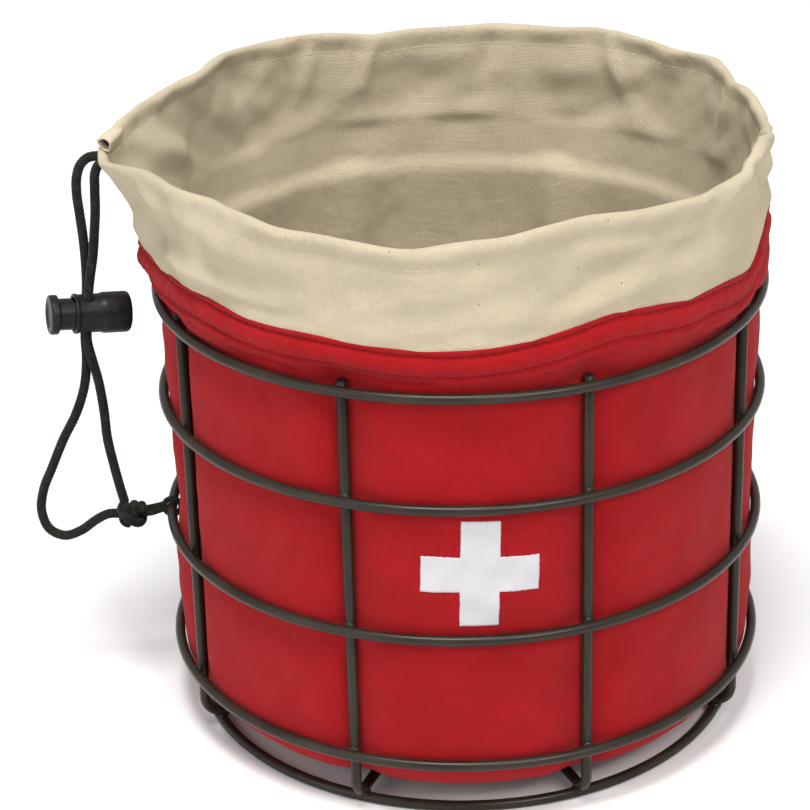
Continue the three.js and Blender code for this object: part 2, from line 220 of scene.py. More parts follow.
class NodeSheet(NodeTree):
    """A material's nodes."""

    def __init__(self, name: str) -> None:
        """Starts a material, whose patterns are all read at the point on the piece in its own frame.

        Args:
            name: The material's name.
        """
        self.material = bpy.data.materials.new(name)
        self.material.use_nodes = True
        super().__init__(self.material.node_tree)
        self.surface = self.tree.nodes["Principled BSDF"]
        self.place = self.add("ShaderNodeTexCoord").outputs["Object"]

    def math(self, operation: str, a: object, b: object = 0.0, c: object = 0.0) -> bpy.types.NodeSocket:
        """One sum on up to three values."""
        return self.add("ShaderNodeMath", {0: a, 1: b, 2: c}, operation=operation).outputs[0]

    def noise(self, scale: float, detail: float) -> bpy.types.NodeSocket:
        """Soft noise between 0 and 1."""
        inputs = {"Vector": self.place, "Scale": scale, "Detail": detail}
        return self.add("ShaderNodeTexNoise", inputs).outputs["Fac"]

    def ramp(self, value: object, low: float, high: float) -> bpy.types.NodeSocket:
        """Maps a value from low to high onto 0 to 1."""
        inputs = {"Value": value, "From Min": low, "From Max": high}
        return self.add("ShaderNodeMapRange", inputs, interpolation_type="SMOOTHSTEP").outputs[0]

    def blend(self, share: object, a: object, b: object) -> bpy.types.NodeSocket:
        """Mixes two colours.

        Args:
            share: The share of the second colour.
            a: The first colour, or a socket.
            b: The second colour, or a socket.

        Returns:
            The mixed colour's socket.
        """
        node = self.add("ShaderNodeMix", data_type="RGBA")
        self.feed(node.inputs["Factor"], share)
        self.feed(node.inputs[6], (*a, 1.0) if isinstance(a, tuple) else a)
        self.feed(node.inputs[7], (*b, 1.0) if isinstance(b, tuple) else b)
        return node.outputs[2]

    def relief(self, height: object, distance: float, below: object = None) -> bpy.types.NodeSocket:
        """Turns a height into a normal.

        Args:
            height: The height's socket, from 0 to 1.
            distance: The real height of 1.
            below: The normal of a coarser relief that this one lies on.

        Returns:
            The normal's socket.
        """
        node = self.add("ShaderNodeBump", {"Height": height, "Distance": distance})
        if below is not None:
            self.feed(node.inputs["Normal"], below)
        return node.outputs[0]

    def dress(self, **values: object) -> bpy.types.Material:
        """Sets the surface's inputs, named with underscores for spaces, and gives the material."""
        for name, value in values.items():
            self.feed(self.surface.inputs[name.replace("_", " ")], value)
        return self.material


@dataclass(frozen=True)
class WovenCotton:
    """Plain woven cotton, with its yarns, slubs, flecks and soft crumple, and painted shade in the gaps
    between its yarns.

    Attributes:
        name: The material's name.
        light: The lighter end of the cloth's random tone, which the crowns of the yarns keep.
        shade: The darker end of the random tone, in worn stretches; also painted shade in the gaps between
            yarns.
        fleck: Colour of the seed flecks.
        fleck_share: The share of cells of the cloth that hold a fleck.
        yarn_relief: How far the yarns stand up.
        crumple_relief: How far the fine crumple stands up.
        sheen: The fuzz's weight.
        fleck_scale: How many cells, with a fleck or without, lie along a metre.
    """

    name: str
    light: tuple[float, float, float]
    shade: tuple[float, float, float]
    fleck: tuple[float, float, float]
    fleck_share: float
    yarn_relief: float
    crumple_relief: float
    sheen: float = 0.04
    fleck_scale: float = 260.0

    def weave(self, sheet: NodeSheet) -> bpy.types.NodeSocket:
        """The height of a plain weave, from 0 in the gaps to 1 on the crowns of the yarns.

        Args:
            sheet: The material's nodes.

        Returns:
            The height's socket.
        """
        threads = sheet.add("ShaderNodeUVMap", uv_map=THREAD_UV).outputs[0]
        split = sheet.add("ShaderNodeSeparateXYZ", {0: threads})
        crowns, steps = [], []
        for axis in ("X", "Y"):
            within = sheet.math("FRACT", split.outputs[axis])
            crowns.append(sheet.math("SINE", sheet.math("MULTIPLY", within, math.pi)))
            steps.append(sheet.math("FLOOR", split.outputs[axis]))
        parity = sheet.math("FLOORED_MODULO", sheet.math("ADD", *steps), 2.0)
        warp = sheet.math("MULTIPLY", crowns[0], sheet.math("MULTIPLY_ADD", crowns[1], 0.45, 0.55))
        weft = sheet.math("MULTIPLY", crowns[1], sheet.math("MULTIPLY_ADD", crowns[0], 0.45, 0.55))
        return sheet.add("ShaderNodeMix", {0: parity, 2: warp, 3: weft}).outputs[0]

    def flecks(self, sheet: NodeSheet) -> bpy.types.NodeSocket:
        """Where the seed flecks lie, as a share of their colour."""
        cells = sheet.add("ShaderNodeTexVoronoi", {"Vector": sheet.place, "Scale": self.fleck_scale})
        dot = sheet.ramp(cells.outputs["Distance"], 0.075, 0.035)
        picked = sheet.add("ShaderNodeSeparateColor", {0: cells.outputs["Color"]}).outputs[0]
        return sheet.math("MULTIPLY", dot, sheet.ramp(picked, self.fleck_share, self.fleck_share * 0.4))

    def material(self) -> bpy.types.Material:
        """Builds the material."""
        sheet = NodeSheet(self.name)
        weave = self.weave(sheet)
        grain = sheet.noise(scale=1300.0, detail=3.0)
        mottle = sheet.noise(scale=60.0, detail=5.0)
        tone = sheet.ramp(sheet.math("ADD", grain, mottle), 0.75, 1.25)
        colour = sheet.blend(tone, self.shade, self.light)
        # Painted shade: the gaps between the yarns are darkened towards the shade colour, as if shadowed by
        # the yarns beside them.
        gaps = sheet.math("MULTIPLY", sheet.ramp(weave, 0.45, 0.0), 0.6)
        colour = sheet.blend(gaps, colour, self.shade)
        colour = sheet.blend(self.flecks(sheet), colour, self.fleck)
        crumple = sheet.relief(sheet.noise(scale=150.0, detail=4.0), self.crumple_relief)
        fuzz = sheet.relief(grain, 0.07 * MM, crumple)
        uneven = sheet.math("MULTIPLY_ADD", sheet.noise(scale=700.0, detail=2.0), 0.8, 0.6)
        normal = sheet.relief(sheet.math("MULTIPLY", weave, uneven), self.yarn_relief, fuzz)
        return sheet.dress(
            Base_Color=colour, Roughness=0.95, Specular_IOR_Level=0.15, Sheen_Weight=self.sheen,
            Sheen_Roughness=0.5, Normal=normal,
        )


@dataclass(frozen=True)
class PrintedInk:
    """Flat ink printed on the cloth, through which the weave still shows."""

    name: str
    ink: tuple[float, float, float]
    worn: tuple[float, float, float]

    def material(self) -> bpy.types.Material:
        """Builds the material."""
        sheet = NodeSheet(self.name)
        grain = sheet.noise(scale=1500.0, detail=2.0)
        patches = sheet.noise(scale=220.0, detail=3.0)
        wear = sheet.ramp(sheet.math("ADD", grain, patches), 1.15, 1.5)
        colour = sheet.blend(wear, self.ink, self.worn)
        normal = sheet.relief(grain, 0.08 * MM)
        return sheet.dress(Base_Color=colour, Roughness=0.85, Specular_IOR_Level=0.15, Normal=normal)


@dataclass(frozen=True)
class CoatedWire:
    """Satin coating on steel wire: an even tone with a fine orange peel and thinner, duller patches."""

    name: str
    tone: tuple[float, float, float]
    thin: tuple[float, float, float]

    def material(self) -> bpy.types.Material:
        """Builds the material."""
        sheet = NodeSheet(self.name)
        patches = sheet.noise(scale=60.0, detail=4.0)
        peel = sheet.noise(scale=900.0, detail=2.0)
        rough = sheet.math("MULTIPLY_ADD", patches, 0.16, 0.24)
        colour = sheet.blend(sheet.ramp(patches, 0.35, 0.75), self.tone, self.thin)
        normal = sheet.relief(peel, 0.035 * MM)
        return sheet.dress(Base_Color=colour, Roughness=rough, Specular_IOR_Level=0.24, Normal=normal)


@dataclass(frozen=True)
class MouldedPlastic:
    """Black moulded plastic with a fine spark texture and a little dust in its tone."""

    name: str
    tone: tuple[float, float, float]
    dusty: tuple[float, float, float]

    def material(self) -> bpy.types.Material:
        """Builds the material."""
        sheet = NodeSheet(self.name)
        patches = sheet.noise(scale=300.0, detail=4.0)
        spark = sheet.noise(scale=3500.0, detail=1.0)
        rough = sheet.math("MULTIPLY_ADD", patches, 0.2, 0.3)
        colour = sheet.blend(sheet.ramp(patches, 0.45, 0.8), self.tone, self.dusty)
        normal = sheet.relief(spark, 0.02 * MM)
        return sheet.dress(Base_Color=colour, Roughness=rough, Specular_IOR_Level=0.19, Normal=normal)


@dataclass(frozen=True)
class Yarn:
    """Spun or braided yarn: matt, fuzzy and slightly uneven in tone."""

    name: str
    tone: tuple[float, float, float]
    pale: tuple[float, float, float]
    sheen: float = 0.2

    def material(self) -> bpy.types.Material:
        """Builds the material."""
        sheet = NodeSheet(self.name)
        fibre = sheet.noise(scale=2600.0, detail=3.0)
        patches = sheet.noise(scale=500.0, detail=2.0)
        colour = sheet.blend(sheet.ramp(sheet.math("ADD", fibre, patches), 0.9, 1.4), self.tone, self.pale)
        normal = sheet.relief(fibre, 0.12 * MM)
        return sheet.dress(
            Base_Color=colour, Roughness=0.95, Specular_IOR_Level=0.2, Sheen_Weight=self.sheen,
            Sheen_Roughness=0.4, Normal=normal,
        )


@dataclass(frozen=True)
class StudioPaper:
    """The pale, even floor that the bag stands on."""

    name: str
    tone: tuple[float, float, float]

    def material(self) -> bpy.types.Material:
        """Builds the material."""
        sheet = NodeSheet(self.name)
        grain = sheet.noise(scale=5.0, detail=3.0)
        darker = tuple(0.985 * c for c in self.tone)
        return sheet.dress(Base_Color=sheet.blend(grain, self.tone, darker), Roughness=0.95)


def mesh_piece(name: str, points: np.ndarray, faces: list[tuple[int, ...]], material: bpy.types.Material,
               corners: np.ndarray | None = None) -> bpy.types.Object:
    """Makes a smooth mesh object at the origin.

    Args:
        name: The object's name.
        points: One point a row.
        faces: The vertices of each face, anticlockwise from outside.
        material: Its material.
        corners: The thread counts at each corner of each face, in the faces' order, or None for no map.

    Returns:
        The object.
    """
    mesh = bpy.data.meshes.new(name)
    mesh.from_pydata(np.asarray(points, float).reshape(-1, 3).tolist(), [], faces)
    if corners is not None:
        layer = mesh.uv_layers.new(name=THREAD_UV)
        layer.data.foreach_set("uv", np.asarray(corners, np.float32).ravel())
    mesh.materials.append(material)
    mesh.update()
    made = bpy.data.objects.new(name, mesh)
    bpy.context.scene.collection.objects.link(made)
    return smoothed(made)


def smoothed(piece: bpy.types.Object) -> bpy.types.Object:
    """Shades a piece smooth and gives it back."""
    piece.data.polygons.foreach_set("use_smooth", np.ones(len(piece.data.polygons), bool))
    return piece


def closed_loft(name: str, rings: np.ndarray, material: bpy.types.Material, threads_round: int,
                yarn_pitch: float) -> bpy.types.Object:
    """Makes a closed shell from rings that start and end in a point on the axis.

    Args:
        name: The object's name.
        rings: Points as [ring, column, xyz], outer face first, whose columns run towards the right.
        material: Its material.
        threads_round: Threads round the whole shell, a whole number so that the weave meets itself.
        yarn_pitch: Distance between threads across the rings.

    Returns:
        The object.
    """
    count, columns = rings.shape[:2]
    first, last = rings[:1].mean(axis=1), rings[-1:].mean(axis=1)
    points = np.concatenate([first, rings[1:-1].reshape(-1, 3), last])
    travel = np.linalg.norm(np.diff(rings, axis=0), axis=2).mean(axis=1)
    rise = np.concatenate([[0.0], np.cumsum(travel)]) / yarn_pitch
    across = np.arange(columns + 1) * threads_round / columns
    left, right = across[:-1], across[1:]

    def threads(sides: list[np.ndarray], rows: list[int]) -> np.ndarray:
        """Thread counts at the corners of a ring of faces, from each corner's columns and ring."""
        u = np.stack(sides, axis=1)
        return np.stack([u, np.broadcast_to(rise[rows], u.shape)], axis=2).reshape(-1, 2)

    column = np.arange(columns)
    beside = (column + 1) % columns
    faces = [(0, 1 + int(b), 1 + int(a)) for a, b in zip(column, beside)]
    corners = [threads([left + 0.5, right, left], [0, 1, 1])]
    for i in range(count - 3):
        low = 1 + i * columns
        high = low + columns
        quads = np.stack([low + column, low + beside, high + beside, high + column], axis=1)
        faces += [tuple(q) for q in quads.tolist()]
        corners.append(threads([left, right, right, left], [i + 1, i + 1, i + 2, i + 2]))
    end, top = len(points) - 1, 1 + (count - 3) * columns
    faces += [(end, top + int(a), top + int(b)) for a, b in zip(column, beside)]
    corners.append(threads([left + 0.5, left, right], [count - 1, count - 2, count - 2]))
    return mesh_piece(name, points, faces, material, np.concatenate(corners))


def smooth_route(points: np.ndarray | list[tuple[float, float, float]], step: float) -> np.ndarray:
    """A smooth line through points, with even steps along it.

    Args:
        points: Where the line passes, in order.
        step: The distance between the points returned.

    Returns:
        The points of the line.
    """
    given = np.array(points, float)
    padded = np.vstack([2 * given[0] - given[1], given, 2 * given[-1] - given[-2]])
    dense = []
    for i in range(len(given) - 1):
        p = padded[i : i + 4]
        knots = np.concatenate([[0.0], np.cumsum(np.sqrt(np.linalg.norm(np.diff(p, axis=0), axis=1)))])
        t = np.linspace(knots[1], knots[2], 24, endpoint=False)[:, None]
        a = [
            ((knots[k + 1] - t) * p[k] + (t - knots[k]) * p[k + 1]) / (knots[k + 1] - knots[k])
            for k in range(3)
        ]
        b = [
            ((knots[k + 2] - t) * a[k] + (t - knots[k]) * a[k + 1]) / (knots[k + 2] - knots[k])
            for k in range(2)
        ]
        dense.append(((knots[2] - t) * b[0] + (t - knots[1]) * b[1]) / (knots[2] - knots[1]))
    dense.append(given[-1:])
    line = np.vstack(dense)
    along = along_line(line)
    even = np.linspace(0.0, along[-1], max(3, round(along[-1] / step) + 1))
    return np.stack([np.interp(even, along, line[:, k]) for k in range(3)], axis=1)


def line_frames(line: np.ndarray) -> tuple[np.ndarray, np.ndarray]:
    """Two directions across a line at each point, which don't twist along it.

    Args:
        line: The line's points.

    Returns:
        The first and the second direction at each point.
    """
    ahead = np.gradient(line, axis=0)
    ahead /= np.linalg.norm(ahead, axis=1)[:, None]
    seed = np.array([0.0, 1.0, 0.0]) if abs(ahead[0][1]) < 0.9 else np.array([1.0, 0.0, 0.0])
    side = np.zeros_like(line)
    side[0] = seed - ahead[0] * (seed @ ahead[0])
    for i in range(1, len(line)):
        side[i] = side[i - 1] - ahead[i] * (side[i - 1] @ ahead[i])
        side[i] /= np.linalg.norm(side[i])
    side[0] /= np.linalg.norm(side[0])
    return side, np.cross(ahead, side)


@dataclass(frozen=True)
class Braid:
    """The relief of a braided cord.

    Attributes:
        diameter: The cord's diameter over the crests.
        carriers: Yarns in each of the two directions.
        relief: How far the crests stand above the valleys, as a share of the radius.
        end_round: Length of the rounded ends, as a share of the diameter.
        sides: Corners round the cord.
        step: Distance between rings along it.
    """

    diameter: float
    carriers: int = 8
    relief: float = 0.18
    end_round: float = 1.0 / 3.0
    sides: int = 40
    step: float = 0.24 * MM

    def tube(self, line: np.ndarray) -> Mesh:
        """A closed braided tube along a line, with rounded ends.

        Args:
            line: Ring centres, evenly spaced.

        Returns:
            Its points and its faces.
        """
        along = along_line(line)
        pitch = math.pi * self.diameter / self.carriers
        share = self.carriers * full_turn(self.sides)[None, :] / (2.0 * math.pi)
        one = share + along[:, None] / pitch
        two = share - along[:, None] / pitch
        over = (np.floor(one) + np.floor(two)) % 2 < 1
        crest = np.where(over, np.sin(math.pi * (one % 1.0)), np.sin(math.pi * (two % 1.0)))
        from_end = np.minimum(along, along[-1] - along) / (self.diameter * self.end_round)
        rounding = np.sqrt(np.clip(1.0 - np.clip(1.0 - from_end, 0.0, 1.0) ** 2, 0.05, 1.0))
        radius = self.diameter / 2.0 * (1.0 - self.relief * (1.0 - crest)) * rounding[:, None]
        return tube(line, radius, self.sides)


def tube_faces(rings: int, sides: int) -> list[tuple[int, ...]]:
    """Faces of a capped tube whose first and last points are its end centres.

    Args:
        rings: Rings along the tube.
        sides: Corners in each ring.

    Returns:
        The faces, turned outwards.
    """
    faces: list[tuple[int, ...]] = []
    last = 1 + (rings - 1) * sides
    for k in range(sides):
        beside = (k + 1) % sides
        faces.append((0, 1 + beside, 1 + k))
        for i in range(rings - 1):
            low = 1 + i * sides
            faces.append((low + k, low + beside, low + sides + beside, low + sides + k))
        faces.append((1 + rings * sides, last + k, last + beside))
    return faces


def tube(line: np.ndarray, radius: np.ndarray, sides: int) -> Mesh:
    """A closed tube along a line.

    Args:
        line: Ring centres.
        radius: A radius for each corner of each ring, or one column with one for each ring.
        sides: Corners in each ring.

    Returns:
        Its points and its faces.
    """
    side, across = line_frames(line)
    turn = full_turn(sides)[None, :, None]
    out = np.cos(turn) * side[:, None, :] + np.sin(turn) * across[:, None, :]
    rings = line[:, None, :] + radius[:, :, None] * out
    points = np.concatenate([line[:1], rings.reshape(-1, 3), line[-1:]])
    return points, tube_faces(len(line), sides)


def turned(profile: list[tuple[float, float]], sides: int, wobble: np.ndarray | float = 1.0) -> Mesh:
    """Turns a profile about the X axis.

    Args:
        profile: Pairs of place along the axis and radius, from one pole to the other.
        sides: Corners round it.
        wobble: What the radius is multiplied by, for each corner or for all.

    Returns:
        Its points and its faces.
    """
    along, radius = np.array(profile).T
    turn = full_turn(sides)
    size = radius[1:-1, None] * wobble
    rings = np.stack(np.broadcast_arrays(along[1:-1, None], size * np.cos(turn), size * np.sin(turn)), axis=2)
    poles = np.array([(along[0], 0.0, 0.0), (along[-1], 0.0, 0.0)])
    points = np.concatenate([poles[:1], rings.reshape(-1, 3), poles[1:]])
    return points, tube_faces(len(rings), sides)


def laid(points: np.ndarray, about_z: float, about_y: float, place: np.ndarray) -> np.ndarray:
    """Points that are tipped about Y, then turned about Z, then moved.

    Args:
        points: One point a row.
        about_z: Degrees about the upright axis.
        about_y: Degrees about the Y axis.
        place: Where their origin goes.

    Returns:
        The points in the frame.
    """
    lean = Matrix.Rotation(math.radians(about_y), 3, "Y")
    spin = Matrix.Rotation(math.radians(about_z), 3, "Z")
    return points @ np.array(spin @ lean).T + place


def merged(parts: list[Mesh]) -> Mesh:
    """Puts several meshes into one.

    Args:
        parts: Points and faces of each.

    Returns:
        The points and faces of all.
    """
    points: list[np.ndarray] = []
    faces: list[tuple[int, ...]] = []
    start = 0
    for part_points, part_faces in parts:
        points.append(part_points)
        faces += [tuple(start + v for v in face) for face in part_faces]
        start += len(part_points)
    return np.concatenate(points), faces


def baked(piece: bpy.types.Object) -> bpy.types.Object:
    """Applies a piece's modifiers to its mesh, and takes them off.

    Args:
        piece: The piece.

    Returns:
        The same piece, with a plain mesh.
    """
    shown = piece.evaluated_get(bpy.context.evaluated_depsgraph_get())
    mesh = bpy.data.meshes.new_from_object(shown)
    piece.modifiers.clear()
    old = piece.data
    piece.data = mesh
    bpy.data.meshes.remove(old)
    mesh.name = piece.name
    return piece


def set_down(piece: bpy.types.Object, body: str, slot: Slot) -> bpy.types.Object:
    """Ties a finished piece to its body, and reports it.

    Args:
        piece: The piece.
        body: The CAD body that it moves with.
        slot: The record's slot for its finish; not used.

    Returns:
        The piece.
    """
    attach(piece, body)
    LOG.info("%s: %d faces, on %s", piece.name, len(piece.data.polygons), body)
    return piece


class PatternTree(NodeTree):
    """A Geometry Nodes tree that repeats a shape."""

    def __init__(self, name: str, sizes: dict[str, float]) -> None:
        """Starts a tree.

        Args:
            name: The tree's name.
            sizes: Its named number inputs, with their values.
        """
        super().__init__(bpy.data.node_groups.new(name, "GeometryNodeTree"))
        face = self.tree.interface
        for way in ("INPUT", "OUTPUT"):
            face.new_socket("Geometry", in_out=way, socket_type="NodeSocketGeometry")
        self.sizes = sizes
        self.keys = {
            size: face.new_socket(size, in_out="INPUT", socket_type="NodeSocketFloat").identifier
            for size in sizes
        }
        self.start = self.tree.nodes.new("NodeGroupInput")
        self.end = self.tree.nodes.new("NodeGroupOutput")

    def size(self, name: str) -> bpy.types.NodeSocket:
        """The socket of a named size."""
        return self.start.outputs[name]

    def out(self, kind: str, inputs: dict | None = None, **settings: object) -> bpy.types.NodeSocket:
        """Adds a node and gives its first output."""
        return self.add(kind, inputs, **settings).outputs[0]

    def finish(self, instances: bpy.types.NodeSocket, material: bpy.types.Material) -> None:
        """Makes the instances real, gives them their material and ends the tree.

        Args:
            instances: The instances' socket.
            material: Their material.
        """
        real = self.out("GeometryNodeRealizeInstances", {0: instances})
        dressed = self.out("GeometryNodeSetMaterial", {"Geometry": real, "Material": material})
        self.tree.links.new(dressed, self.end.inputs[0])

    def run(self, piece: bpy.types.Object) -> bpy.types.Object:
        """Runs the tree on a piece and keeps the result as its plain mesh.

        Args:
            piece: The piece that holds the tree's input.

        Returns:
            The same piece.
        """
        modifier = piece.modifiers.new(self.tree.name, "NODES")
        modifier.node_group = self.tree
        for size, key in self.keys.items():
            modifier[key] = float(self.sizes[size])
        return smoothed(baked(piece))


@dataclass
class WireBasket:
    """The welded basket: four hoops outside eight rods that bend in under the bag, on a base ring.

    Attributes:
        hoop_heights: Centres of the hoops' wire.
        rod_turn: How far the whole ring of rods is turned from an even place.
    """

    wire: float = 3.1 * MM
    hoop_radius: float = 90.0 * MM
    hoop_heights: tuple[float, ...] = (20.2 * MM, 61.6 * MM, 102.7 * MM, 136.4 * MM)
    base_radius: float = 82.4 * MM
    inner_radius: float = 22.0 * MM
    weld_bite: float = 0.5 * MM
    rods: int = 8
    rod_turn: float = 0.75
    rod_top_rise: float = 2.4 * MM
    foot_bend: float = 6.0 * MM
    bend_rings: int = 10
    sides: int = 24
    ring_segments: int = 288
    end_chamfer: float = 0.25 * MM
    bead_across: float = 2.1 * MM
    bead_along: float = 2.3 * MM
    bead_deep: float = 0.95 * MM
    bead_rings: int = 7
    bead_sides: int = 14

    @property
    def pitch(self) -> float:
        """Distance between the centres of two wires that are welded across each other."""
        return self.wire - self.weld_bite

    @property
    def rod_radius(self) -> float:
        """Distance of the rods' centres from the axis."""
        return self.hoop_radius - self.pitch

    @property
    def base_height(self) -> float:
        """Height of the base ring's centre."""
        return self.wire / 2

    @property
    def foot_height(self) -> float:
        """Height of the bent feet's centres."""
        return self.base_height + self.pitch

    @property
    def rod_top(self) -> float:
        """Height of the rods' cut ends."""
        return self.hoop_heights[-1] + self.rod_top_rise

    @property
    def rod_step(self) -> float:
        """Degrees from rod to rod."""
        return 360.0 / self.rods

    def from_rod(self, angle: np.ndarray) -> np.ndarray:
        """Distance along the rods' ring from an angle to the nearest rod."""
        place = (np.asarray(angle) - self.rod_turn) / self.rod_step - 0.5
        return np.radians(np.abs(place - np.round(place)) * self.rod_step) * self.rod_radius

    def near_hoop(self, height: np.ndarray, reach: float) -> np.ndarray:
        """How near a height is to a hoop: 1 on it, and about a third at the reach."""
        return np.max([bump(height - hoop, reach) for hoop in self.hoop_heights], axis=0)

    def ring(self, name: str, radius: float, height: float, material: bpy.types.Material) -> bpy.types.Object:
        """One closed ring of wire.

        Args:
            name: The piece's name.
            radius: Radius of the wire's centre.
            height: Height of the wire's centre.
            material: Its material.

        Returns:
            The piece.
        """
        count, sides = self.ring_segments, self.sides
        turn = full_turn(sides)
        out = radius + self.wire / 2 * np.cos(turn)
        up = height + self.wire / 2 * np.sin(turn)
        points = around(degrees_round(count)[:, None], out[None, :], up[None, :])
        faces = []
        for i in range(count):
            here, ahead = i * sides, (i + 1) % count * sides
            for k in range(sides):
                beside = (k + 1) % sides
                faces.append((here + k, ahead + k, ahead + beside, here + beside))
        return mesh_piece(name, points, faces, material)

    def rod_line(self) -> tuple[np.ndarray, np.ndarray]:
        """The centre line of a rod straight in front of the axis, and its radius at each ring."""
        bend_radius = self.rod_radius - self.foot_bend
        turn = np.linspace(0.0, QUARTER, self.bend_rings)
        tip = self.inner_radius - self.wire / 2
        out = [self.rod_radius, self.rod_radius, self.rod_radius]
        up = [self.rod_top, self.rod_top - self.end_chamfer / 2, self.rod_top - self.end_chamfer]
        out += list(bend_radius + self.foot_bend * np.cos(turn))
        up += list(self.foot_height + self.foot_bend * (1.0 - np.sin(turn)))
        out += [tip + self.end_chamfer, tip]
        up += [self.foot_height, self.foot_height]
        size = np.full(len(out), self.wire / 2)
        size[[0, 1, -1]] -= np.array([self.end_chamfer, self.end_chamfer / 3, self.end_chamfer])
        line = np.stack([np.zeros(len(out)), -np.array(out), np.array(up)], axis=1)
        return line, size

    def bead(self, name: str, place: tuple[float, float, float], size: tuple[float, float, float],
             material: bpy.types.Material) -> bpy.types.Object:
        """The lump of weld metal in the corner between two crossing wires.

        Args:
            name: The seed's name.
            place: Its centre, with the basket's axis at x = 0, y = 0.
            size: Its half sizes along x, y and z.
            material: Its material.

        Returns:
            The seed's object.
        """
        tilt = np.linspace(0.0, math.pi, self.bead_rings + 2)[1:-1, None]
        turn = full_turn(self.bead_sides)[None, :]
        ball = np.broadcast_arrays(np.sin(tilt) * np.cos(turn), np.sin(tilt) * np.sin(turn), -np.cos(tilt))
        ball = np.stack(ball, axis=2).reshape(-1, 3)
        points = np.concatenate([[(0.0, 0.0, -1.0)], ball, [(0.0, 0.0, 1.0)]]) * size + place
        return mesh_piece(name, points, tube_faces(self.bead_rings, self.bead_sides), material)

    def ring_of(self, name: str, seed: bpy.types.Object, places: bpy.types.Object | None,
                material: bpy.types.Material) -> bpy.types.Object:
        """Repeats a shape round the axis, once for each rod, and at several heights if asked.

        Args:
            name: The finished piece's name.
            seed: The shape at the front, with the axis at x = 0, y = 0.
            places: A piece whose points give the heights, or None for the shape's own height.
            material: Its material.

        Returns:
            The finished piece.
        """
        first = math.radians(self.rod_turn + self.rod_step / 2)
        sizes = {"Count": self.rods, "First": first, "Step": math.radians(self.rod_step), "Axis": AXIS_X}
        tree = PatternTree(name, sizes)
        shape = tree.add("GeometryNodeObjectInfo", {"Object": seed}).outputs["Geometry"]
        dots = tree.out("GeometryNodeMeshLine", {"Count": self.rods, "Offset": (0.0, 0.0, 0.0)})
        index = tree.out("GeometryNodeInputIndex")
        turn = {0: index, 1: tree.size("Step"), 2: tree.size("First")}
        turn = tree.out("ShaderNodeMath", turn, operation="MULTIPLY_ADD")
        spun = tree.out("FunctionNodeEulerToRotation", {0: tree.out("ShaderNodeCombineXYZ", {"Z": turn})})
        copies = {"Points": dots, "Instance": shape, "Rotation": spun}
        ring = tree.out("GeometryNodeInstanceOnPoints", copies)
        shift = tree.out("ShaderNodeCombineXYZ", {"X": tree.size("Axis")})
        ring = tree.out("GeometryNodeTransform", {"Geometry": ring, "Translation": shift})
        if places is not None:
            copies = {"Points": tree.size("Geometry"), "Instance": ring}
            ring = tree.out("GeometryNodeInstanceOnPoints", copies)
        tree.finish(ring, material)
        carrier = places or mesh_piece(name, np.zeros((1, 3)), [], material)
        carrier.name = name
        tree.run(carrier)
        bpy.data.objects.remove(seed)
        return carrier

    def welds(self, coating: bpy.types.Material) -> list[bpy.types.Object]:
        """The weld beads: those of the hoops, then those of the base ring and the inner ring."""
        contact = (0.0, -(self.hoop_radius - self.pitch / 2), 0.0)
        bead = self.bead(
            "hoop_bead_seed", contact, (self.bead_across, self.bead_deep, self.bead_along), coating
        )
        heights = np.array([(0.0, 0.0, height) for height in self.hoop_heights])
        heights = mesh_piece("hoop_weld_places", heights, [], coating)
        made = [self.ring_of("basket_hoop_welds", bead, heights, coating)]
        rings = (("basket_base_welds", self.base_radius), ("basket_inner_welds", self.inner_radius))
        for name, radius in rings:
            place = (0.0, -radius, self.base_height + self.pitch / 2)
            size = (self.bead_across, self.bead_along, self.bead_deep)
            bead = self.bead(name + "_seed", place, size, coating)
            made.append(self.ring_of(name, bead, None, coating))
        return made

    def build(self) -> None:
        """Builds all the basket's pieces."""
        coating = CoatedWire(
            "coated_wire", tone=(0.017, 0.0125, 0.0085), thin=(0.028, 0.021, 0.014)
        ).material()
        pieces = [
            self.ring(f"basket_hoop_{i + 1}", self.hoop_radius, height, coating)
            for i, height in enumerate(self.hoop_heights)
        ]
        pieces.append(self.ring("basket_base_ring", self.base_radius, self.base_height, coating))
        pieces.append(self.ring("basket_inner_ring", self.inner_radius, self.base_height, coating))
        line, size = self.rod_line()
        rod = mesh_piece("rod_seed", *tube(line, size[:, None], self.sides), coating)
        pieces.append(self.ring_of("basket_rods", rod, None, coating))
        pieces += self.welds(coating)
        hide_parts("wire_basket")
        for piece in pieces:
            set_down(piece, BAG_BODY, Slot.WIRE)


class BrimRow(NamedTuple):
    """The seam's and the rim's heights at one angle, above their usual heights."""

    at: float
    seam: float
    rim: float


BRIM = tuple(
    BrimRow(at, seam * MM, rim * MM)
    for at, seam, rim in (
        (-176, 1.0, 0.8), (-163, 1.0, -0.2), (-154, 1.0, 2.2), (-140, 1.0, 3.8), (-122, 0.5, 3.8),
        (-110, 0.0, 2.6), (-100, -1.0, 0.8), (-95, -1.4, -0.8), (-91.5, -1.6, -4.6), (-89, -1.3, -7.8),
        (-84, -0.6, -6.9), (-77, 0.4, -4.4), (-68, 2.1, -2.2), (-58, 3.3, -1.0), (-51, 3.7, -0.8),
        (-44, 2.9, -0.5), (-37, 2.3, -0.6), (-29, 2.5, -1.4), (-18, 1.7, -2.4), (-7, 0.8, -3.3),
        (4, 1.2, -1.2), (14, 3.3, 1.6), (21, 5.3, 1.9), (28, 6.9, 1.2), (35, 5.9, 0.4), (43, 4.4, -0.4),
        (52, 3.8, -0.7), (58, 2.7, -0.9), (61.5, 2.0, -0.3), (65, 2.2, 2.0), (68, 3.8, 3.7),
        (71, 6.6, 3.7), (75, 9.2, 2.4), (80, 10.2, 0.4), (86, 9.0, -1.2), (94, 5.5, -1.6),
        (104, 2.6, 1.0), (110, 2.1, 0.4), (114, 2.0, 2.4), (130, 1.5, 1.8), (149, 1.2, 2.8),
        (165, 1.0, 1.3),
    )
)


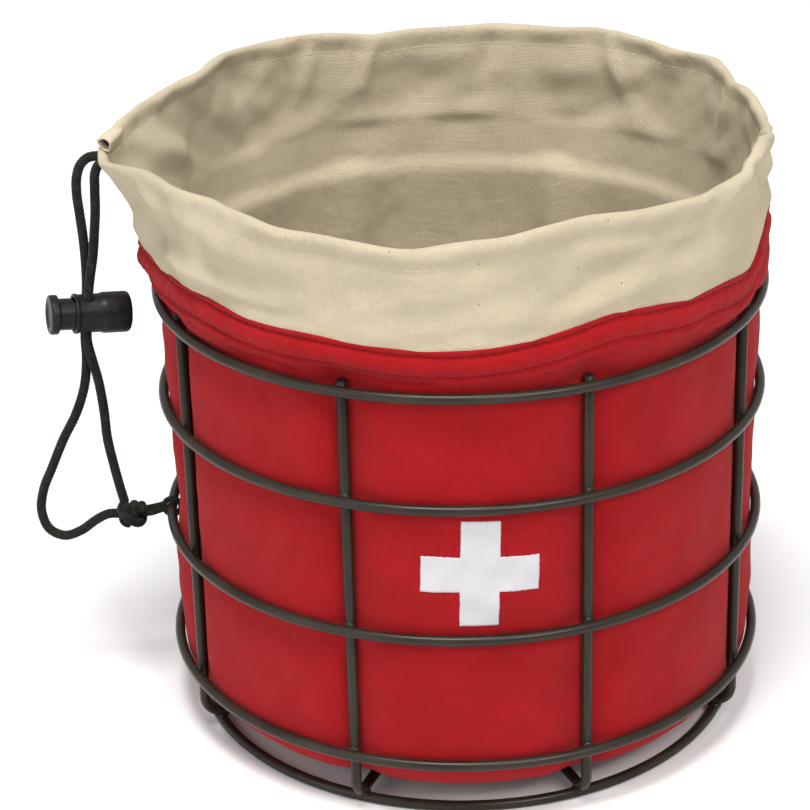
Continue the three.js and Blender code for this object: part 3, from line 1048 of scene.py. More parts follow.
class Fold(NamedTuple):
    """A soft fold in the cuff, as a straight ridge or valley from one place to another.

    Rises are shares of the way from the seam (0) to the rim (1), and a depth below 0 is a valley.
    """

    from_angle: float
    from_rise: float
    to_angle: float
    to_rise: float
    width: float
    depth: float


CUFF_FOLDS = tuple(
    Fold(*ends, width * MM, depth * MM)
    for *ends, width, depth in (
        (-30, 0.80, 60, 0.74, 3.0, -0.55), (-78, 0.14, -34, 0.20, 2.4, 0.75),
        (-74, 0.34, -40, 0.36, 3.4, -0.6), (-70, 0.78, -30, 0.55, 5.0, 0.8),
        (-20, 0.22, 6, 0.44, 4.0, -0.5), (12, 0.14, 36, 0.62, 4.0, -0.8),
        (22, 0.10, 50, 0.46, 4.5, 0.8), (44, 0.66, 60, 0.90, 3.6, 0.7),
        (63, 1.00, 70, 0.60, 1.8, -1.5), (70, 0.95, 75, 0.50, 2.6, 1.0),
        (64, 0.20, 80, 0.60, 3.4, -0.8), (84, 0.95, 96, 0.35, 3.0, -1.4),
        (-84, 0.80, -68, 0.20, 4.0, -1.2), (-79, 0.92, -62, 0.60, 2.6, 0.6),
        (-96, 0.80, -112, 0.30, 3.6, -1.2), (-128, 0.90, -134, 0.30, 3.8, 1.2),
        (-150, 0.95, -146, 0.40, 3.2, -1.0), (-163, 0.98, -160, 0.50, 2.6, -1.0),
        (172, 0.95, 176, 0.35, 3.6, 1.0), (148, 0.98, 143, 0.40, 3.0, -1.3),
        (128, 0.95, 133, 0.30, 3.8, 1.1), (110, 1.00, 114, 0.40, 2.2, -1.2),
    )
)


@dataclass
class BagShape:
    """The form of the cloth as a radius for every angle and height.

    Attributes:
        touch: The gap between cloth and wire where they touch.
        puff: How far the cloth swells out between hoops.
        hoop_reach: How far from a hoop its hold is felt; crease is the same for a rod.
        flare: Height over which the cloth leaves the basket at the front.
        front_half: Where the front's flare starts to turn into the sides', which it does by side_half.
        tip_low: The pinched corner's reach at the basket's top, tip_lean what it gains with height, and
            tip_swell what it gains between the shares tip_from and tip_full of that height.
    """

    basket: WireBasket
    touch: float = 0.12 * MM
    cloth: float = 1.2 * MM
    layer_gap: float = 0.15 * MM
    puff: float = 0.55 * MM
    hoop_reach: float = 9.0 * MM
    crease: float = 7.0 * MM
    floor_height: float = 5.9 * MM
    corner: float = 16.0 * MM
    leave_below: float = 1.5 * MM
    leave_at_rod: float = 1.4 * MM
    flare: float = 9.0 * MM
    side_flare: float = 4.0 * MM
    pinch_flare: float = 3.5 * MM
    front_half: float = 38.0
    side_half: float = 58.0
    brim_radius: float = 91.0 * MM
    seam_height: float = 150.0 * MM
    rim_height: float = 183.0 * MM
    pinch_angle: float = -89.25
    pinch_width: float = 26.0
    pinch_softness: float = 2.2
    pinch_tip: float = 177.5 * MM
    tip_low: float = 4.5 * MM
    tip_lean: float = 2.7 * MM
    tip_swell: float = 8.2 * MM
    tip_from: float = 0.5
    tip_full: float = 0.92
    tip_start: float = 3.0 * MM
    tie_angle: float = -86.25
    tie_depth: float = 3.0 * MM
    tie_width: float = 6.0 * MM
    fold_boost: float = 1.6
    fold_start: float = 0.2 * MM
    fold_full: float = 5.0 * MM
    soft_folds: Ripple = Ripple(26 * MM, 0.45 * MM, 5)
    fine_folds: Ripple = Ripple(9 * MM, 0.10 * MM, 6)

    def brim(self, angle: np.ndarray, column: str) -> np.ndarray:
        """Reads a column of the brim's rows at any angle, as a smooth closed curve.

        Args:
            angle: Degrees from the front.
            column: The column's name.

        Returns:
            The rise at each angle.
        """
        rows = [(row.at, getattr(row, column)) for row in BRIM]
        rows = [(at - 360, v) for at, v in rows[-2:]] + rows + [(at + 360, v) for at, v in rows[:3]]
        at, value = (np.array(x) for x in zip(*rows))
        slope = np.gradient(value, at)
        turn = angle_between(angle, 0.0)
        i = np.clip(np.searchsorted(at, turn, side="right") - 1, 0, len(at) - 2)
        span = at[i + 1] - at[i]
        t = (turn - at[i]) / span
        return (
            (1 + 2 * t) * (1 - t) ** 2 * value[i]
            + t * (1 - t) ** 2 * span * slope[i]
            + t * t * (3 - 2 * t) * value[i + 1]
            + t * t * (t - 1) * span * slope[i + 1]
        )

    def seam(self, angle: np.ndarray) -> np.ndarray:
        """Height of the red cloth's top edge."""
        return self.seam_height + self.brim(angle, "seam")

    def rim(self, angle: np.ndarray) -> np.ndarray:
        """Height of the cuff's rim."""
        return self.rim_height + self.brim(angle, "rim")

    def near(self, angle: np.ndarray, height: np.ndarray) -> np.ndarray:
        """The points at the brim's radius, where the cloth's waves are read."""
        return around(angle, self.brim_radius, height)

    def drawn_out(self, angle: np.ndarray, height: np.ndarray) -> np.ndarray:
        """Radius of the free cloth above the basket, drawn out to a point by the cord."""
        top = self.basket.hoop_heights[-1]
        climb = np.clip((height - top) / (self.pinch_tip - top), 0.0, 1.05)
        swell = smooth_step(climb, self.tip_from, self.tip_full)
        reach = self.tip_low + self.tip_lean * climb + self.tip_swell * swell
        reach = reach * smooth_step(height, top, top + self.tip_start)
        tangent = np.arccos(self.brim_radius / (self.brim_radius + reach))
        away = np.radians(np.hypot(angle_between(angle, self.pinch_angle), self.pinch_softness))
        return self.brim_radius / np.cos(np.maximum(0.0, tangent - away))

    def outer(self, angle: np.ndarray, height: np.ndarray) -> np.ndarray:
        """Radius of the red cloth's outer face, without its fine relief.

        Args:
            angle: Degrees from the front.
            height: Heights above the table.

        Returns:
            The radius at each place.
        """
        basket = self.basket
        at_rod = bump(basket.from_rod(angle), self.crease)
        slack = self.puff * (1.0 - basket.near_hoop(height, self.hoop_reach))
        full = basket.hoop_radius - basket.wire / 2 - self.touch + slack
        snug = basket.rod_radius - basket.wire / 2 - self.touch
        caged = snug + (full - snug) * (1.0 - at_rod)
        leaves = basket.rod_top - self.leave_below + self.leave_at_rod * at_rod
        beside = smooth_step(np.abs(angle_between(angle, 0.0)), self.front_half, self.side_half)
        flare = self.flare + (self.side_flare - self.flare) * beside
        pinched = bump(angle_between(angle, self.pinch_angle), self.pinch_width)
        flare = flare + (self.pinch_flare - flare) * pinched
        free = smooth_step((height - leaves) / flare, 0.0, 1.0)
        radius = caged + (self.drawn_out(angle, height) - caged) * free
        across = np.radians(angle_between(angle, self.tie_angle)) * basket.hoop_radius
        near_tie = np.hypot(across, height - basket.hoop_heights[1])
        return radius - self.tie_depth * bump(near_tie, self.tie_width)

    def inner(self, angle: np.ndarray, height: np.ndarray, depth: float) -> np.ndarray:
        """Points at a depth inside the red cloth's outer face."""
        return around(angle, self.outer(angle, height) - depth, height)

    def fold(self, fold: Fold, angle: np.ndarray, rise: np.ndarray) -> np.ndarray:
        """How far one fold moves the cuff outwards.

        Args:
            fold: The fold.
            angle: Degrees from the front.
            rise: Heights above the seam, as if the cuff were as tall everywhere.

        Returns:
            The move at each place.
        """
        tall = self.rim_height - self.seam_height
        along = np.radians(angle_between(angle, fold.from_angle)) * self.brim_radius
        ahead = np.radians(angle_between(fold.to_angle, fold.from_angle)) * self.brim_radius
        start = fold.from_rise * tall
        climb = (fold.to_rise - fold.from_rise) * tall
        long = math.hypot(ahead, climb)
        share = np.clip((along * ahead + (rise - start) * climb) / long**2, 0.0, 1.0)
        off = np.hypot(along - share * ahead, rise - start - share * climb)
        swell = 0.35 + 0.65 * np.sin(math.pi * np.clip(share, 0.04, 0.96))
        return fold.depth * swell * bump(off, fold.width)

    def folds(self, angle: np.ndarray, height: np.ndarray) -> np.ndarray:
        """How far the cuff's folds move the cloth outwards.

        Args:
            angle: Degrees from the front.
            height: Heights above the table.

        Returns:
            The move at each place.
        """
        seam, rim = self.seam(angle), self.rim(angle)
        rise = (height - seam) / (rim - seam) * (self.rim_height - self.seam_height)
        place = self.near(angle, height)
        total = sum(self.fold(fold, angle, rise) for fold in CUFF_FOLDS)
        total = total + self.soft_folds.at(place) + self.fine_folds.at(place)
        return self.fold_boost * total * smooth_step(height - seam, self.fold_start, self.fold_full)

    def floor_bend(self, angle: np.ndarray, foot: np.ndarray, depth: float,
                   tilts: np.ndarray) -> list[np.ndarray]:
        """Rings of the round corner between the floor and the wall, at a depth inside the outer face.

        Args:
            angle: Degrees from the front, one for each column.
            foot: Radius of the wall above the corner.
            depth: How far inside the red cloth's outer face they lie.
            tilts: Directions from the corner's centre, from 0 straight down to a quarter turn outwards.

        Returns:
            One ring for each direction.
        """
        small, low = self.corner - depth, self.floor_height + depth
        return [
            around(angle, foot - small * (1.0 - math.sin(tilt)), low + small * (1.0 - math.cos(tilt)))
            for tilt in tilts
        ]


# Heights of the rings of the two bags' faces that lie against each other.
INNER_LEVELS = (52 * MM, 62 * MM, 72 * MM, 103 * MM, 132 * MM, 139 * MM, 142 * MM)
# Points in each closed line that a row of stitches is sewn along.
STITCH_LINE_POINTS = 1440


@dataclass(frozen=True)
class Stitching:
    """A row of short stitches.

    Attributes:
        long: Length of a stitch.
        pitch: Distance from stitch to stitch.
        thick: The thread's thickness.
    """

    long: float
    pitch: float
    thick: float

    def row(self, name: str, line: np.ndarray, material: bpy.types.Material) -> bpy.types.Object:
        """Sews the row along a closed line.

        Args:
            name: The piece's name.
            line: The line's points, in order.
            material: The thread.

        Returns:
            The piece.
        """
        count = len(line)
        mesh = bpy.data.meshes.new(name)
        mesh.from_pydata(line.tolist(), [(i, (i + 1) % count) for i in range(count)], [])
        row = bpy.data.objects.new(name, mesh)
        bpy.context.scene.collection.objects.link(row)
        tree = PatternTree(name, {"Pitch": self.pitch, "Long": self.long, "Thick": self.thick})
        path = tree.out("GeometryNodeMeshToCurve", {0: tree.size("Geometry")})
        spacing = {"Curve": path, "Length": tree.size("Pitch")}
        dots = tree.add("GeometryNodeCurveToPoints", spacing, mode="LENGTH")
        ball = tree.out("GeometryNodeMeshUVSphere", {"Segments": 6, "Rings": 5, "Radius": 0.5})
        size = {"X": tree.size("Thick"), "Y": tree.size("Thick"), "Z": tree.size("Long")}
        size = tree.out("ShaderNodeCombineXYZ", size)
        ahead = {"Vector": dots.outputs["Tangent"]}
        aligned = tree.out("FunctionNodeAlignRotationToVector", ahead, axis="Z")
        copies = {"Points": dots.outputs[0], "Instance": ball, "Rotation": aligned, "Scale": size}
        tree.finish(tree.out("GeometryNodeInstanceOnPoints", copies), material)
        return tree.run(row)


@dataclass
class RedBag:
    """The red outer bag: floor, sides pressed through the basket, and the double-stitched top hem.

    Attributes:
        floor_shares: Radii of the floor's rings, as shares of the flat floor's radius.
        hem_rows: Depths of the two rows of stitches below the red edge.
        hem_groove: How deep a row pulls the cloth in.
        hem_roll: How far the cloth stands out between the rows.
        pucker: How far the gathers between the rows stand out, one every pucker_pitch. A weaker, slower
            row of them, by slow_pucker, lies below.
        hoop_crease: Depth of the crease where the hem's lower edge bends over the top hoop, at crease_drop.
        slack_limit: The most that the cloth swells out between the wires.
    """

    shape: BagShape
    columns: int = 480
    floor_shares: tuple[float, ...] = (0.0, 0.2, 0.4, 0.6, 0.75, 0.87, 0.95)
    hem_rows: tuple[float, ...] = (1.9 * MM, 8.2 * MM)
    hem_low: float = 13.0 * MM
    hem_full: float = 7.0 * MM
    hem_groove: float = 0.9 * MM
    groove_width: float = 0.85 * MM
    hem_roll: float = 0.45 * MM
    roll_width: float = 2.6 * MM
    pucker: float = 0.2 * MM
    pucker_pitch: float = 6.5 * MM
    pucker_drop: float = 5.5 * MM
    pucker_width: float = 4.5 * MM
    slow_pucker: float = 0.6
    slow_drop: float = 10.5 * MM
    slow_width: float = 3.0 * MM
    hoop_crease: float = 1.0 * MM
    crease_drop: float = 11.2 * MM
    crease_sway: float = 1.1 * MM
    crease_width: float = 1.2 * MM
    wire_hold: float = 5.0 * MM
    slack_limit: float = 0.35 * MM
    wander: Ripple = Ripple(30 * MM, 2.2, 11)
    crease_depth: Ripple = Ripple(36 * MM, 0.55, 13)
    loose: Ripple = Ripple(34 * MM, 0.45 * MM, 21, upright=2.0)
    fine: Ripple = Ripple(11 * MM, 0.16 * MM, 22)
    threads_round: int = 1500
    yarn_pitch: float = 0.38 * MM
    stitching: Stitching = Stitching(long=2.1 * MM, pitch=2.9 * MM, thick=0.36 * MM)
    stitch_rise: float = 0.1 * MM
    cross_span: float = 33.0 * MM
    cross_bar: float = 11.0 * MM
    cross_angle: float = 2.8
    cross_height: float = 82.2 * MM
    cross_tilt: float = 1.6
    cross_step: float = 0.5 * MM
    ragged: Ripple = Ripple(0.9 * MM, 0.05 * MM, 31)
    ink_thick: float = 0.14 * MM

    def hem_relief(self, angle: np.ndarray, drop: np.ndarray, place: np.ndarray) -> np.ndarray:
        """The hem's grooves, roll and puckers, and the crease over the top hoop.

        Args:
            angle: Degrees from the front.
            drop: Depths below the red edge.
            place: The same places as points.

        Returns:
            How far the cloth stands out at each place.
        """
        arc = np.radians(angle) * self.shape.brim_radius
        wander = self.wander.at(place)
        gathers = np.sin(2 * math.pi * arc / self.pucker_pitch + wander)
        gathers = gathers * bump(drop - self.pucker_drop, self.pucker_width)
        slow = 2 * math.pi * arc / (1.7 * self.pucker_pitch)
        slow = self.slow_pucker * np.sin(slow - 1.3 * wander)
        gathers += slow * bump(drop - self.slow_drop, self.slow_width)
        groove = sum(bump(drop - row, self.groove_width) for row in self.hem_rows)
        groove = groove * smooth_step(drop, -0.2 * MM, 0.5 * MM)
        roll = bump(drop - sum(self.hem_rows) / 2, self.roll_width)
        sway = self.crease_sway * np.sin(np.radians(angle) * 5 + wander / 2)
        deep = np.clip(0.45 + self.crease_depth.at(place), 0.0, 1.2)
        crease = deep * bump(drop - self.crease_drop - sway, self.crease_width)
        relief = self.pucker * gathers - self.hem_groove * groove
        return relief + self.hem_roll * roll - self.hoop_crease * crease

    def face(self, angle: np.ndarray, height: np.ndarray) -> np.ndarray:
        """Radius of the outer face with its relief.

        Args:
            angle: Degrees from the front.
            height: Heights above the table.

        Returns:
            The radius at each place.
        """
        shape = self.shape
        drop = shape.seam(angle) - height
        place = shape.near(angle, height)
        radius = shape.outer(angle, height) + self.hem_relief(angle, drop, place)
        hem = smooth_step(drop, self.hem_low, self.hem_full)
        held = bump(shape.basket.from_rod(angle), self.wire_hold)
        slack = (1.0 - held) * (1.0 - shape.basket.near_hoop(height, self.wire_hold))
        fine = self.fine.at(place)
        swell = np.minimum(self.loose.at(place), self.slack_limit) + fine
        return radius + swell * np.clip(slack, 0.0, 1.0) * (1.0 - hem) + fine * hem

    def rings(self) -> np.ndarray:
        """The shell's rings, from the middle of the floor outside to the middle of the floor inside."""
        shape = self.shape
        angle = degrees_round(self.columns)
        low, corner = shape.floor_height, shape.corner
        top = shape.seam(angle)
        foot = self.face(angle, low + corner)
        rings = [around(angle, share * (foot - corner), low) for share in self.floor_shares]
        rings += shape.floor_bend(angle, foot, 0.0, np.linspace(0.0, QUARTER, 10))
        bend = shape.basket.hoop_heights[-1] - 1.0 * MM
        round_edge = shape.cloth / 2
        levels = list(np.linspace(low + corner, bend, 102)[1:])
        levels += [bend + share * (top - round_edge - bend) for share in np.linspace(0.0, 1.0, 34)[1:]]
        rings += [around(angle, self.face(angle, height), height) for height in levels]
        edge = self.face(angle, top - round_edge) - round_edge
        for tilt in np.linspace(0.0, math.pi, 7)[1:]:
            over = top - round_edge * (1.0 - math.sin(tilt))
            rings.append(around(angle, edge + round_edge * math.cos(tilt), over))
        levels = (*INNER_LEVELS[::-1], low + corner)
        rings += [shape.inner(angle, height, shape.cloth) for height in levels]
        inside = shape.outer(angle, low + corner) - shape.cloth
        rings += shape.floor_bend(angle, inside, shape.cloth, np.linspace(QUARTER, 0.0, 4)[1:])
        rings.append(around(angle, 0.0, low + shape.cloth))
        return np.stack(rings)

    def cross(self, material: bpy.types.Material) -> bpy.types.Object:
        """The plain equal-armed cross printed on the front.

        Args:
            material: The ink.

        Returns:
            The piece.
        """
        count = round(self.cross_span / self.cross_step)
        half_bar = self.cross_bar / 2
        steps = np.linspace(-self.cross_span / 2, self.cross_span / 2, count + 1)
        a, b = np.meshgrid(steps, steps)
        inside = np.minimum(np.abs(a), np.abs(b)) <= half_bar + 1e-6
        tilt = math.radians(self.cross_tilt)
        ragged = self.ragged.at(np.stack([a, b, 0 * a], axis=-1))
        across = a * math.cos(tilt) + b * math.sin(tilt) + ragged
        height = self.cross_height - a * math.sin(tilt) + b * math.cos(tilt) + ragged
        angle = self.cross_angle + np.degrees(across / self.shape.outer(self.cross_angle, self.cross_height))
        radius = self.face(angle, height)
        top = around(angle, radius + self.ink_thick, height)
        under = around(angle, radius - self.ink_thick, height)
        number = -np.ones(inside.shape, int)
        number[inside] = np.arange(inside.sum())
        points = np.concatenate([top[inside], under[inside]])
        below = int(inside.sum())
        faces: list[tuple[int, ...]] = []
        cells = {}
        for i in range(count):
            for k in range(count):
                ring = [number[i, k], number[i, k + 1], number[i + 1, k + 1], number[i + 1, k]]
                middle = (steps[k] + steps[k + 1]) / 2, (steps[i] + steps[i + 1]) / 2
                if min(ring) >= 0 and min(abs(middle[0]), abs(middle[1])) < half_bar:
                    cells[(i, k)] = [int(v) for v in ring]
        for (i, k), ring in cells.items():
            faces.append(tuple(ring))
            faces.append(tuple(below + v for v in reversed(ring)))
            for edge, beside in enumerate(((i - 1, k), (i, k + 1), (i + 1, k), (i, k - 1))):
                if beside not in cells:
                    start, end = ring[edge], ring[(edge + 1) % 4]
                    faces.append((start, below + start, below + end, end))
        return mesh_piece("cross_print", points, faces, material)

    def build(self) -> None:
        """Builds the bag, its stitches and its print."""
        cotton = WovenCotton(
            "red_cotton", light=(0.34, 0.0048, 0.0078), shade=(0.285, 0.0036, 0.0061),
            fleck=(0.22, 0.003, 0.006), fleck_share=0.12, yarn_relief=0.10 * MM, crumple_relief=0.5 * MM,
        ).material()
        thread = Yarn("red_thread", tone=(0.17, 0.003, 0.005), pale=(0.26, 0.005, 0.008), sheen=0.05)
        thread = thread.material()
        ink = PrintedInk("white_ink", ink=(0.51, 0.495, 0.52), worn=(0.43, 0.395, 0.42)).material()
        bag = closed_loft("red_bag", self.rings(), cotton, self.threads_round, self.yarn_pitch)
        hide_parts("bag_outer")
        set_down(bag, BAG_BODY, Slot.RED)
        angle = degrees_round(STITCH_LINE_POINTS)
        for i, drop in enumerate(self.hem_rows):
            height = self.shape.seam(angle) - drop
            line = around(angle, self.face(angle, height) + self.stitch_rise, height)
            row = self.stitching.row(f"hem_stitches_{i + 1}", line, thread)
            set_down(row, BAG_BODY, Slot.STITCH)
        set_down(self.cross(ink), BAG_BODY, Slot.PRINT)


@dataclass
class CreamLining:
    """The cream lining, whose top stands above the red bag as a cuff with the cord's casing round its rim.

    Attributes:
        cuff_inset: How far the cuff's outer face lies inside the red cloth's.
        cuff_wall: The cuff's thickness; casing_half is half the casing's, casing_neck half its seam's.
        cuff_from: Where the inner face starts to turn into the cuff's, above the red edge.
        tuck: How far the lining goes on behind the red edge.
        casing_round: Depth of the rim's rounding, and casing_deep of the casing's seam.
        gather_height: How far the gathers at the casing's seam stand out, one every gather_pitch.
        slack_low: How far the inner face hangs off the wall on average.
        casing_end: Radius of the casing's open end, and casing_hole of its opening.
        end_place: Where the open end's mouth lies from the basket's axis, turned by end_turn and end_dip.
    """

    shape: BagShape
    columns: int = 480
    cuff_inset: float = 0.45 * MM
    cuff_wall: float = 2.0 * MM
    casing_half: float = 1.55 * MM
    casing_round: float = 1.7 * MM
    casing_deep: float = 6.0 * MM
    casing_neck: float = 0.85 * MM
    neck_fade: float = 2.5 * MM
    cuff_from: float = -12.0 * MM
    cuff_full: float = 3.0 * MM
    tuck: float = 1.6 * MM
    tuck_edge: float = 0.6 * MM
    gather_pitch: float = 8.5 * MM
    gather_height: float = 0.16 * MM
    gather_width: float = 3.4 * MM
    lean_width: float = 5.0 * MM
    slack_low: float = 0.5 * MM
    slack_fine: float = 0.12 * MM
    wander: Ripple = Ripple(24 * MM, 2.4, 41)
    fullness: Ripple = Ripple(17 * MM, 0.13, 42)
    fullness_limit: float = 0.28
    lean: Ripple = Ripple(30 * MM, 0.35 * MM, 43)
    slack: Ripple = Ripple(30 * MM, 0.55 * MM, 51, upright=2.2)
    fine_slack: Ripple = Ripple(10 * MM, 1.0, 52)
    floor_waves: Ripple = Ripple(38 * MM, 0.5 * MM, 61)
    floor_shares: tuple[float, ...] = (0.93, 0.84, 0.72, 0.6, 0.48, 0.36, 0.24, 0.12, 0.0)
    threads_round: int = 1350
    yarn_pitch: float = 0.42 * MM
    stitching: Stitching = Stitching(long=2.0 * MM, pitch=2.8 * MM, thick=0.24 * MM)
    stitch_rise: float = 0.02 * MM
    casing_end: float = 2.45 * MM
    casing_hole: float = 1.75 * MM
    end_place: tuple[float, float, float] = (-102.9 * MM, -1.2 * MM, 178.4 * MM)
    end_turn: float = 62.0
    end_dip: float = -13.0
    end_sides: int = 40

    def half(self, drop: np.ndarray) -> np.ndarray:
        """Half the wall's thickness at a depth below the rim.

        Args:
            drop: Depths below the rim.

        Returns:
            The half thickness at each depth.
        """
        deep, neck = self.casing_deep, self.casing_neck
        dome = self.casing_half * np.sqrt(np.clip(1.0 - (1.0 - drop / self.casing_round) ** 2, 0.0, 1.0))
        waist = neck + (self.casing_half - neck) * smooth_step(drop, deep, self.casing_round)
        flat = neck + (self.cuff_wall / 2 - neck) * smooth_step(drop, deep, deep + self.neck_fade)
        return np.where(drop < self.casing_round, dome, np.where(drop < deep, waist, flat))

    def face(self, angle: np.ndarray, height: np.ndarray, side: Side) -> np.ndarray:
        """Radius of the cuff's outer or inner face.

        Args:
            angle: Degrees from the front.
            height: Heights above the table.
            side: Which face.

        Returns:
            The radius at each place.
        """
        shape = self.shape
        drop = np.maximum(shape.rim(angle) - height, 0.0)
        inset = self.cuff_inset + self.cuff_wall / 2
        middle = shape.outer(angle, height) - inset + shape.folds(angle, height)
        place = shape.near(angle, height)
        turns = np.radians(angle) * shape.brim_radius / self.gather_pitch
        gather = np.sin(2 * math.pi * turns + self.wander.at(place))
        gather = gather * bump(drop - self.casing_deep, self.gather_width)
        full = 1.0 + np.clip(self.fullness.at(place), -self.fullness_limit, self.fullness_limit)
        lean = self.lean.at(place) * bump(drop, self.lean_width)
        return middle + side.value * self.half(drop) * full + self.gather_height * gather + lean

    def inside(self, angle: np.ndarray, height: np.ndarray) -> np.ndarray:
        """Radius of the inner face, from the floor to the cuff."""
        shape = self.shape
        cuff = self.face(angle, height, Side.INNER)
        place = shape.near(angle, height)
        slack = np.maximum(self.slack_low + self.slack.at(place), 0.0)
        slack = slack + self.slack_fine * np.maximum(self.fine_slack.at(place), 0.0)
        wall = shape.outer(angle, height) - 2 * shape.cloth - shape.layer_gap - slack
        blend = smooth_step(height - shape.seam(angle), self.cuff_from, self.cuff_full)
        return wall + (cuff - wall) * blend

    def drops(self) -> np.ndarray:
        """Depths of the casing's rings, from its seam up to the rim."""
        side = np.linspace(self.casing_deep, self.casing_round, 8)[1:]
        dome = self.casing_round * (1.0 - np.sin(np.linspace(0.0, QUARTER, 7)[1:]))
        return np.concatenate([side, dome])

    def rings(self) -> np.ndarray:
        """The shell's rings, from the middle of the floor outside to the middle of the floor inside."""
        shape = self.shape
        angle = degrees_round(self.columns)
        hidden = shape.cloth + shape.layer_gap
        foot_height = shape.floor_height + shape.corner
        foot = shape.outer(angle, foot_height) - hidden
        rings = [around(angle, 0.0, shape.floor_height + hidden)]
        rings += shape.floor_bend(angle, foot, hidden, np.linspace(0.0, QUARTER, 4))
        seam, rim = shape.seam(angle), shape.rim(angle)
        rings += [shape.inner(angle, height, hidden) for height in (*INNER_LEVELS, seam - self.tuck)]
        neck, tuck = rim - self.casing_deep, self.tuck_edge
        levels = [seam - tuck + share * (neck - seam + tuck) for share in np.linspace(0.0, 1.0, 30)]
        levels += [rim - drop for drop in self.drops()]
        rings += [around(angle, self.face(angle, height, Side.OUTER), height) for height in levels]
        levels = [rim - drop for drop in self.drops()[::-1][1:]]
        rings += [around(angle, self.face(angle, height, Side.INNER), height) for height in levels]
        levels = [seam + share * (neck - seam) for share in np.linspace(1.0, 0.0, 30)]
        levels += [foot_height + share * (seam - foot_height) for share in np.linspace(1.0, 0.0, 76)[1:]]
        rings += [around(angle, self.inside(angle, height), height) for height in levels]
        return np.stack(rings + self.floor(angle, self.inside(angle, foot_height)))

    def floor(self, angle: np.ndarray, foot: np.ndarray) -> list[np.ndarray]:
        """Rings of the inner face's round corner and soft floor.

        Args:
            angle: Degrees from the front, one for each column.
            foot: Radius of the inner face above the corner.

        Returns:
            The rings, from the wall to the middle.
        """
        shape = self.shape
        thick = 2 * shape.cloth + shape.layer_gap
        rings = shape.floor_bend(angle, foot, thick, np.linspace(QUARTER, 0.0, 7)[1:])
        for share in self.floor_shares:
            flat = around(angle, share * (foot - (shape.corner - thick)), shape.floor_height + thick)
            rise = self.floor_waves.at(flat) * smooth_step(np.array(share), 1.0, 0.7)
            flat[..., 2] += np.maximum(rise, 0.0) + 0.1 * MM
            rings.append(flat)
        return rings

    def tunnel_piece(self, name: str, profile: list[tuple[float, float]],
                     material: bpy.types.Material) -> bpy.types.Object:
        """A slightly uneven turned piece that lies along the back rim, with its front end at the pinch.

        Args:
            name: The piece's name.
            profile: Distance behind the front end and radius, from one pole to the other.
            material: Its material.

        Returns:
            The piece.
        """
        turn = full_turn(self.end_sides)
        wobble = 1.0 + 0.07 * np.sin(3 * turn + 0.6) + 0.04 * np.sin(5 * turn)
        points, faces = turned(profile, self.end_sides, wobble)
        place = AXIS_FOOT + np.array(self.end_place)
        return mesh_piece(name, laid(points, self.end_turn, self.end_dip, place), faces, material)

    def open_end(self, cotton: bpy.types.Material) -> bpy.types.Object:
        """The open end of the casing's tunnel at the pinch.

        Args:
            cotton: The lining's material.

        Returns:
            The piece.
        """
        outer, hole = self.casing_end, self.casing_hole
        lip = (outer - hole) / 2
        mouth = np.radians(np.linspace(90.0, 270.0, 9))
        profile = [(9.0 * MM, 0.0), (8.4 * MM, outer * 0.55), (6.0 * MM, outer * 0.92), (2.5 * MM, outer)]
        profile += [(lip * (1.0 + math.cos(t)), hole + lip + lip * math.sin(t)) for t in mouth]
        profile += [(2.6 * MM, hole), (7.2 * MM, hole * 0.7), (7.4 * MM, 0.0)]
        return self.tunnel_piece("casing_end", profile, cotton)

    def tunnel_cord(self, cord: bpy.types.Material) -> bpy.types.Object:
        """The stretch of drawcord that shows inside the casing's open end.

        Args:
            cord: The cord's material.

        Returns:
            The piece.
        """
        size = self.casing_hole * 0.93
        profile = [(7.0 * MM, 0.0), (6.8 * MM, size * 0.7), (2.2 * MM, size), (1.6 * MM, size * 0.85)]
        profile += [(1.3 * MM, size * 0.5), (1.2 * MM, 0.0)]
        return self.tunnel_piece("casing_cord", profile, cord)

    def build(self) -> None:
        """Builds the lining, the casing's open end with its cord, and the casing's stitches."""
        cotton = WovenCotton(
            "cream_cotton", light=(0.545, 0.465, 0.335), shade=(0.49, 0.415, 0.295),
            fleck=(0.13, 0.09, 0.05), fleck_share=0.55, yarn_relief=0.14 * MM, crumple_relief=0.65 * MM,
        ).material()
        thread = Yarn("cream_thread", tone=(0.54, 0.46, 0.335), pale=(0.60, 0.51, 0.375)).material()
        lining = closed_loft("cream_lining", self.rings(), cotton, self.threads_round, self.yarn_pitch)
        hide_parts("bag_lining")
        set_down(lining, BAG_BODY, Slot.CREAM)
        set_down(self.open_end(cotton), BAG_BODY, Slot.CREAM)
        dark = Yarn("cord_yarn", tone=(0.008, 0.008, 0.007), pale=(0.016, 0.015, 0.013)).material()
        set_down(self.tunnel_cord(dark), BAG_BODY, Slot.CORD)
        angle = degrees_round(STITCH_LINE_POINTS)
        height = self.shape.rim(angle) - self.casing_deep
        for name, side in (("casing_stitches_outside", Side.OUTER), ("casing_stitches_inside", Side.INNER)):
            radius = self.face(angle, height, side) + side.value * self.stitch_rise
            row = self.stitching.row(name, around(angle, radius, height), thread)
            set_down(row, BAG_BODY, Slot.STITCH)


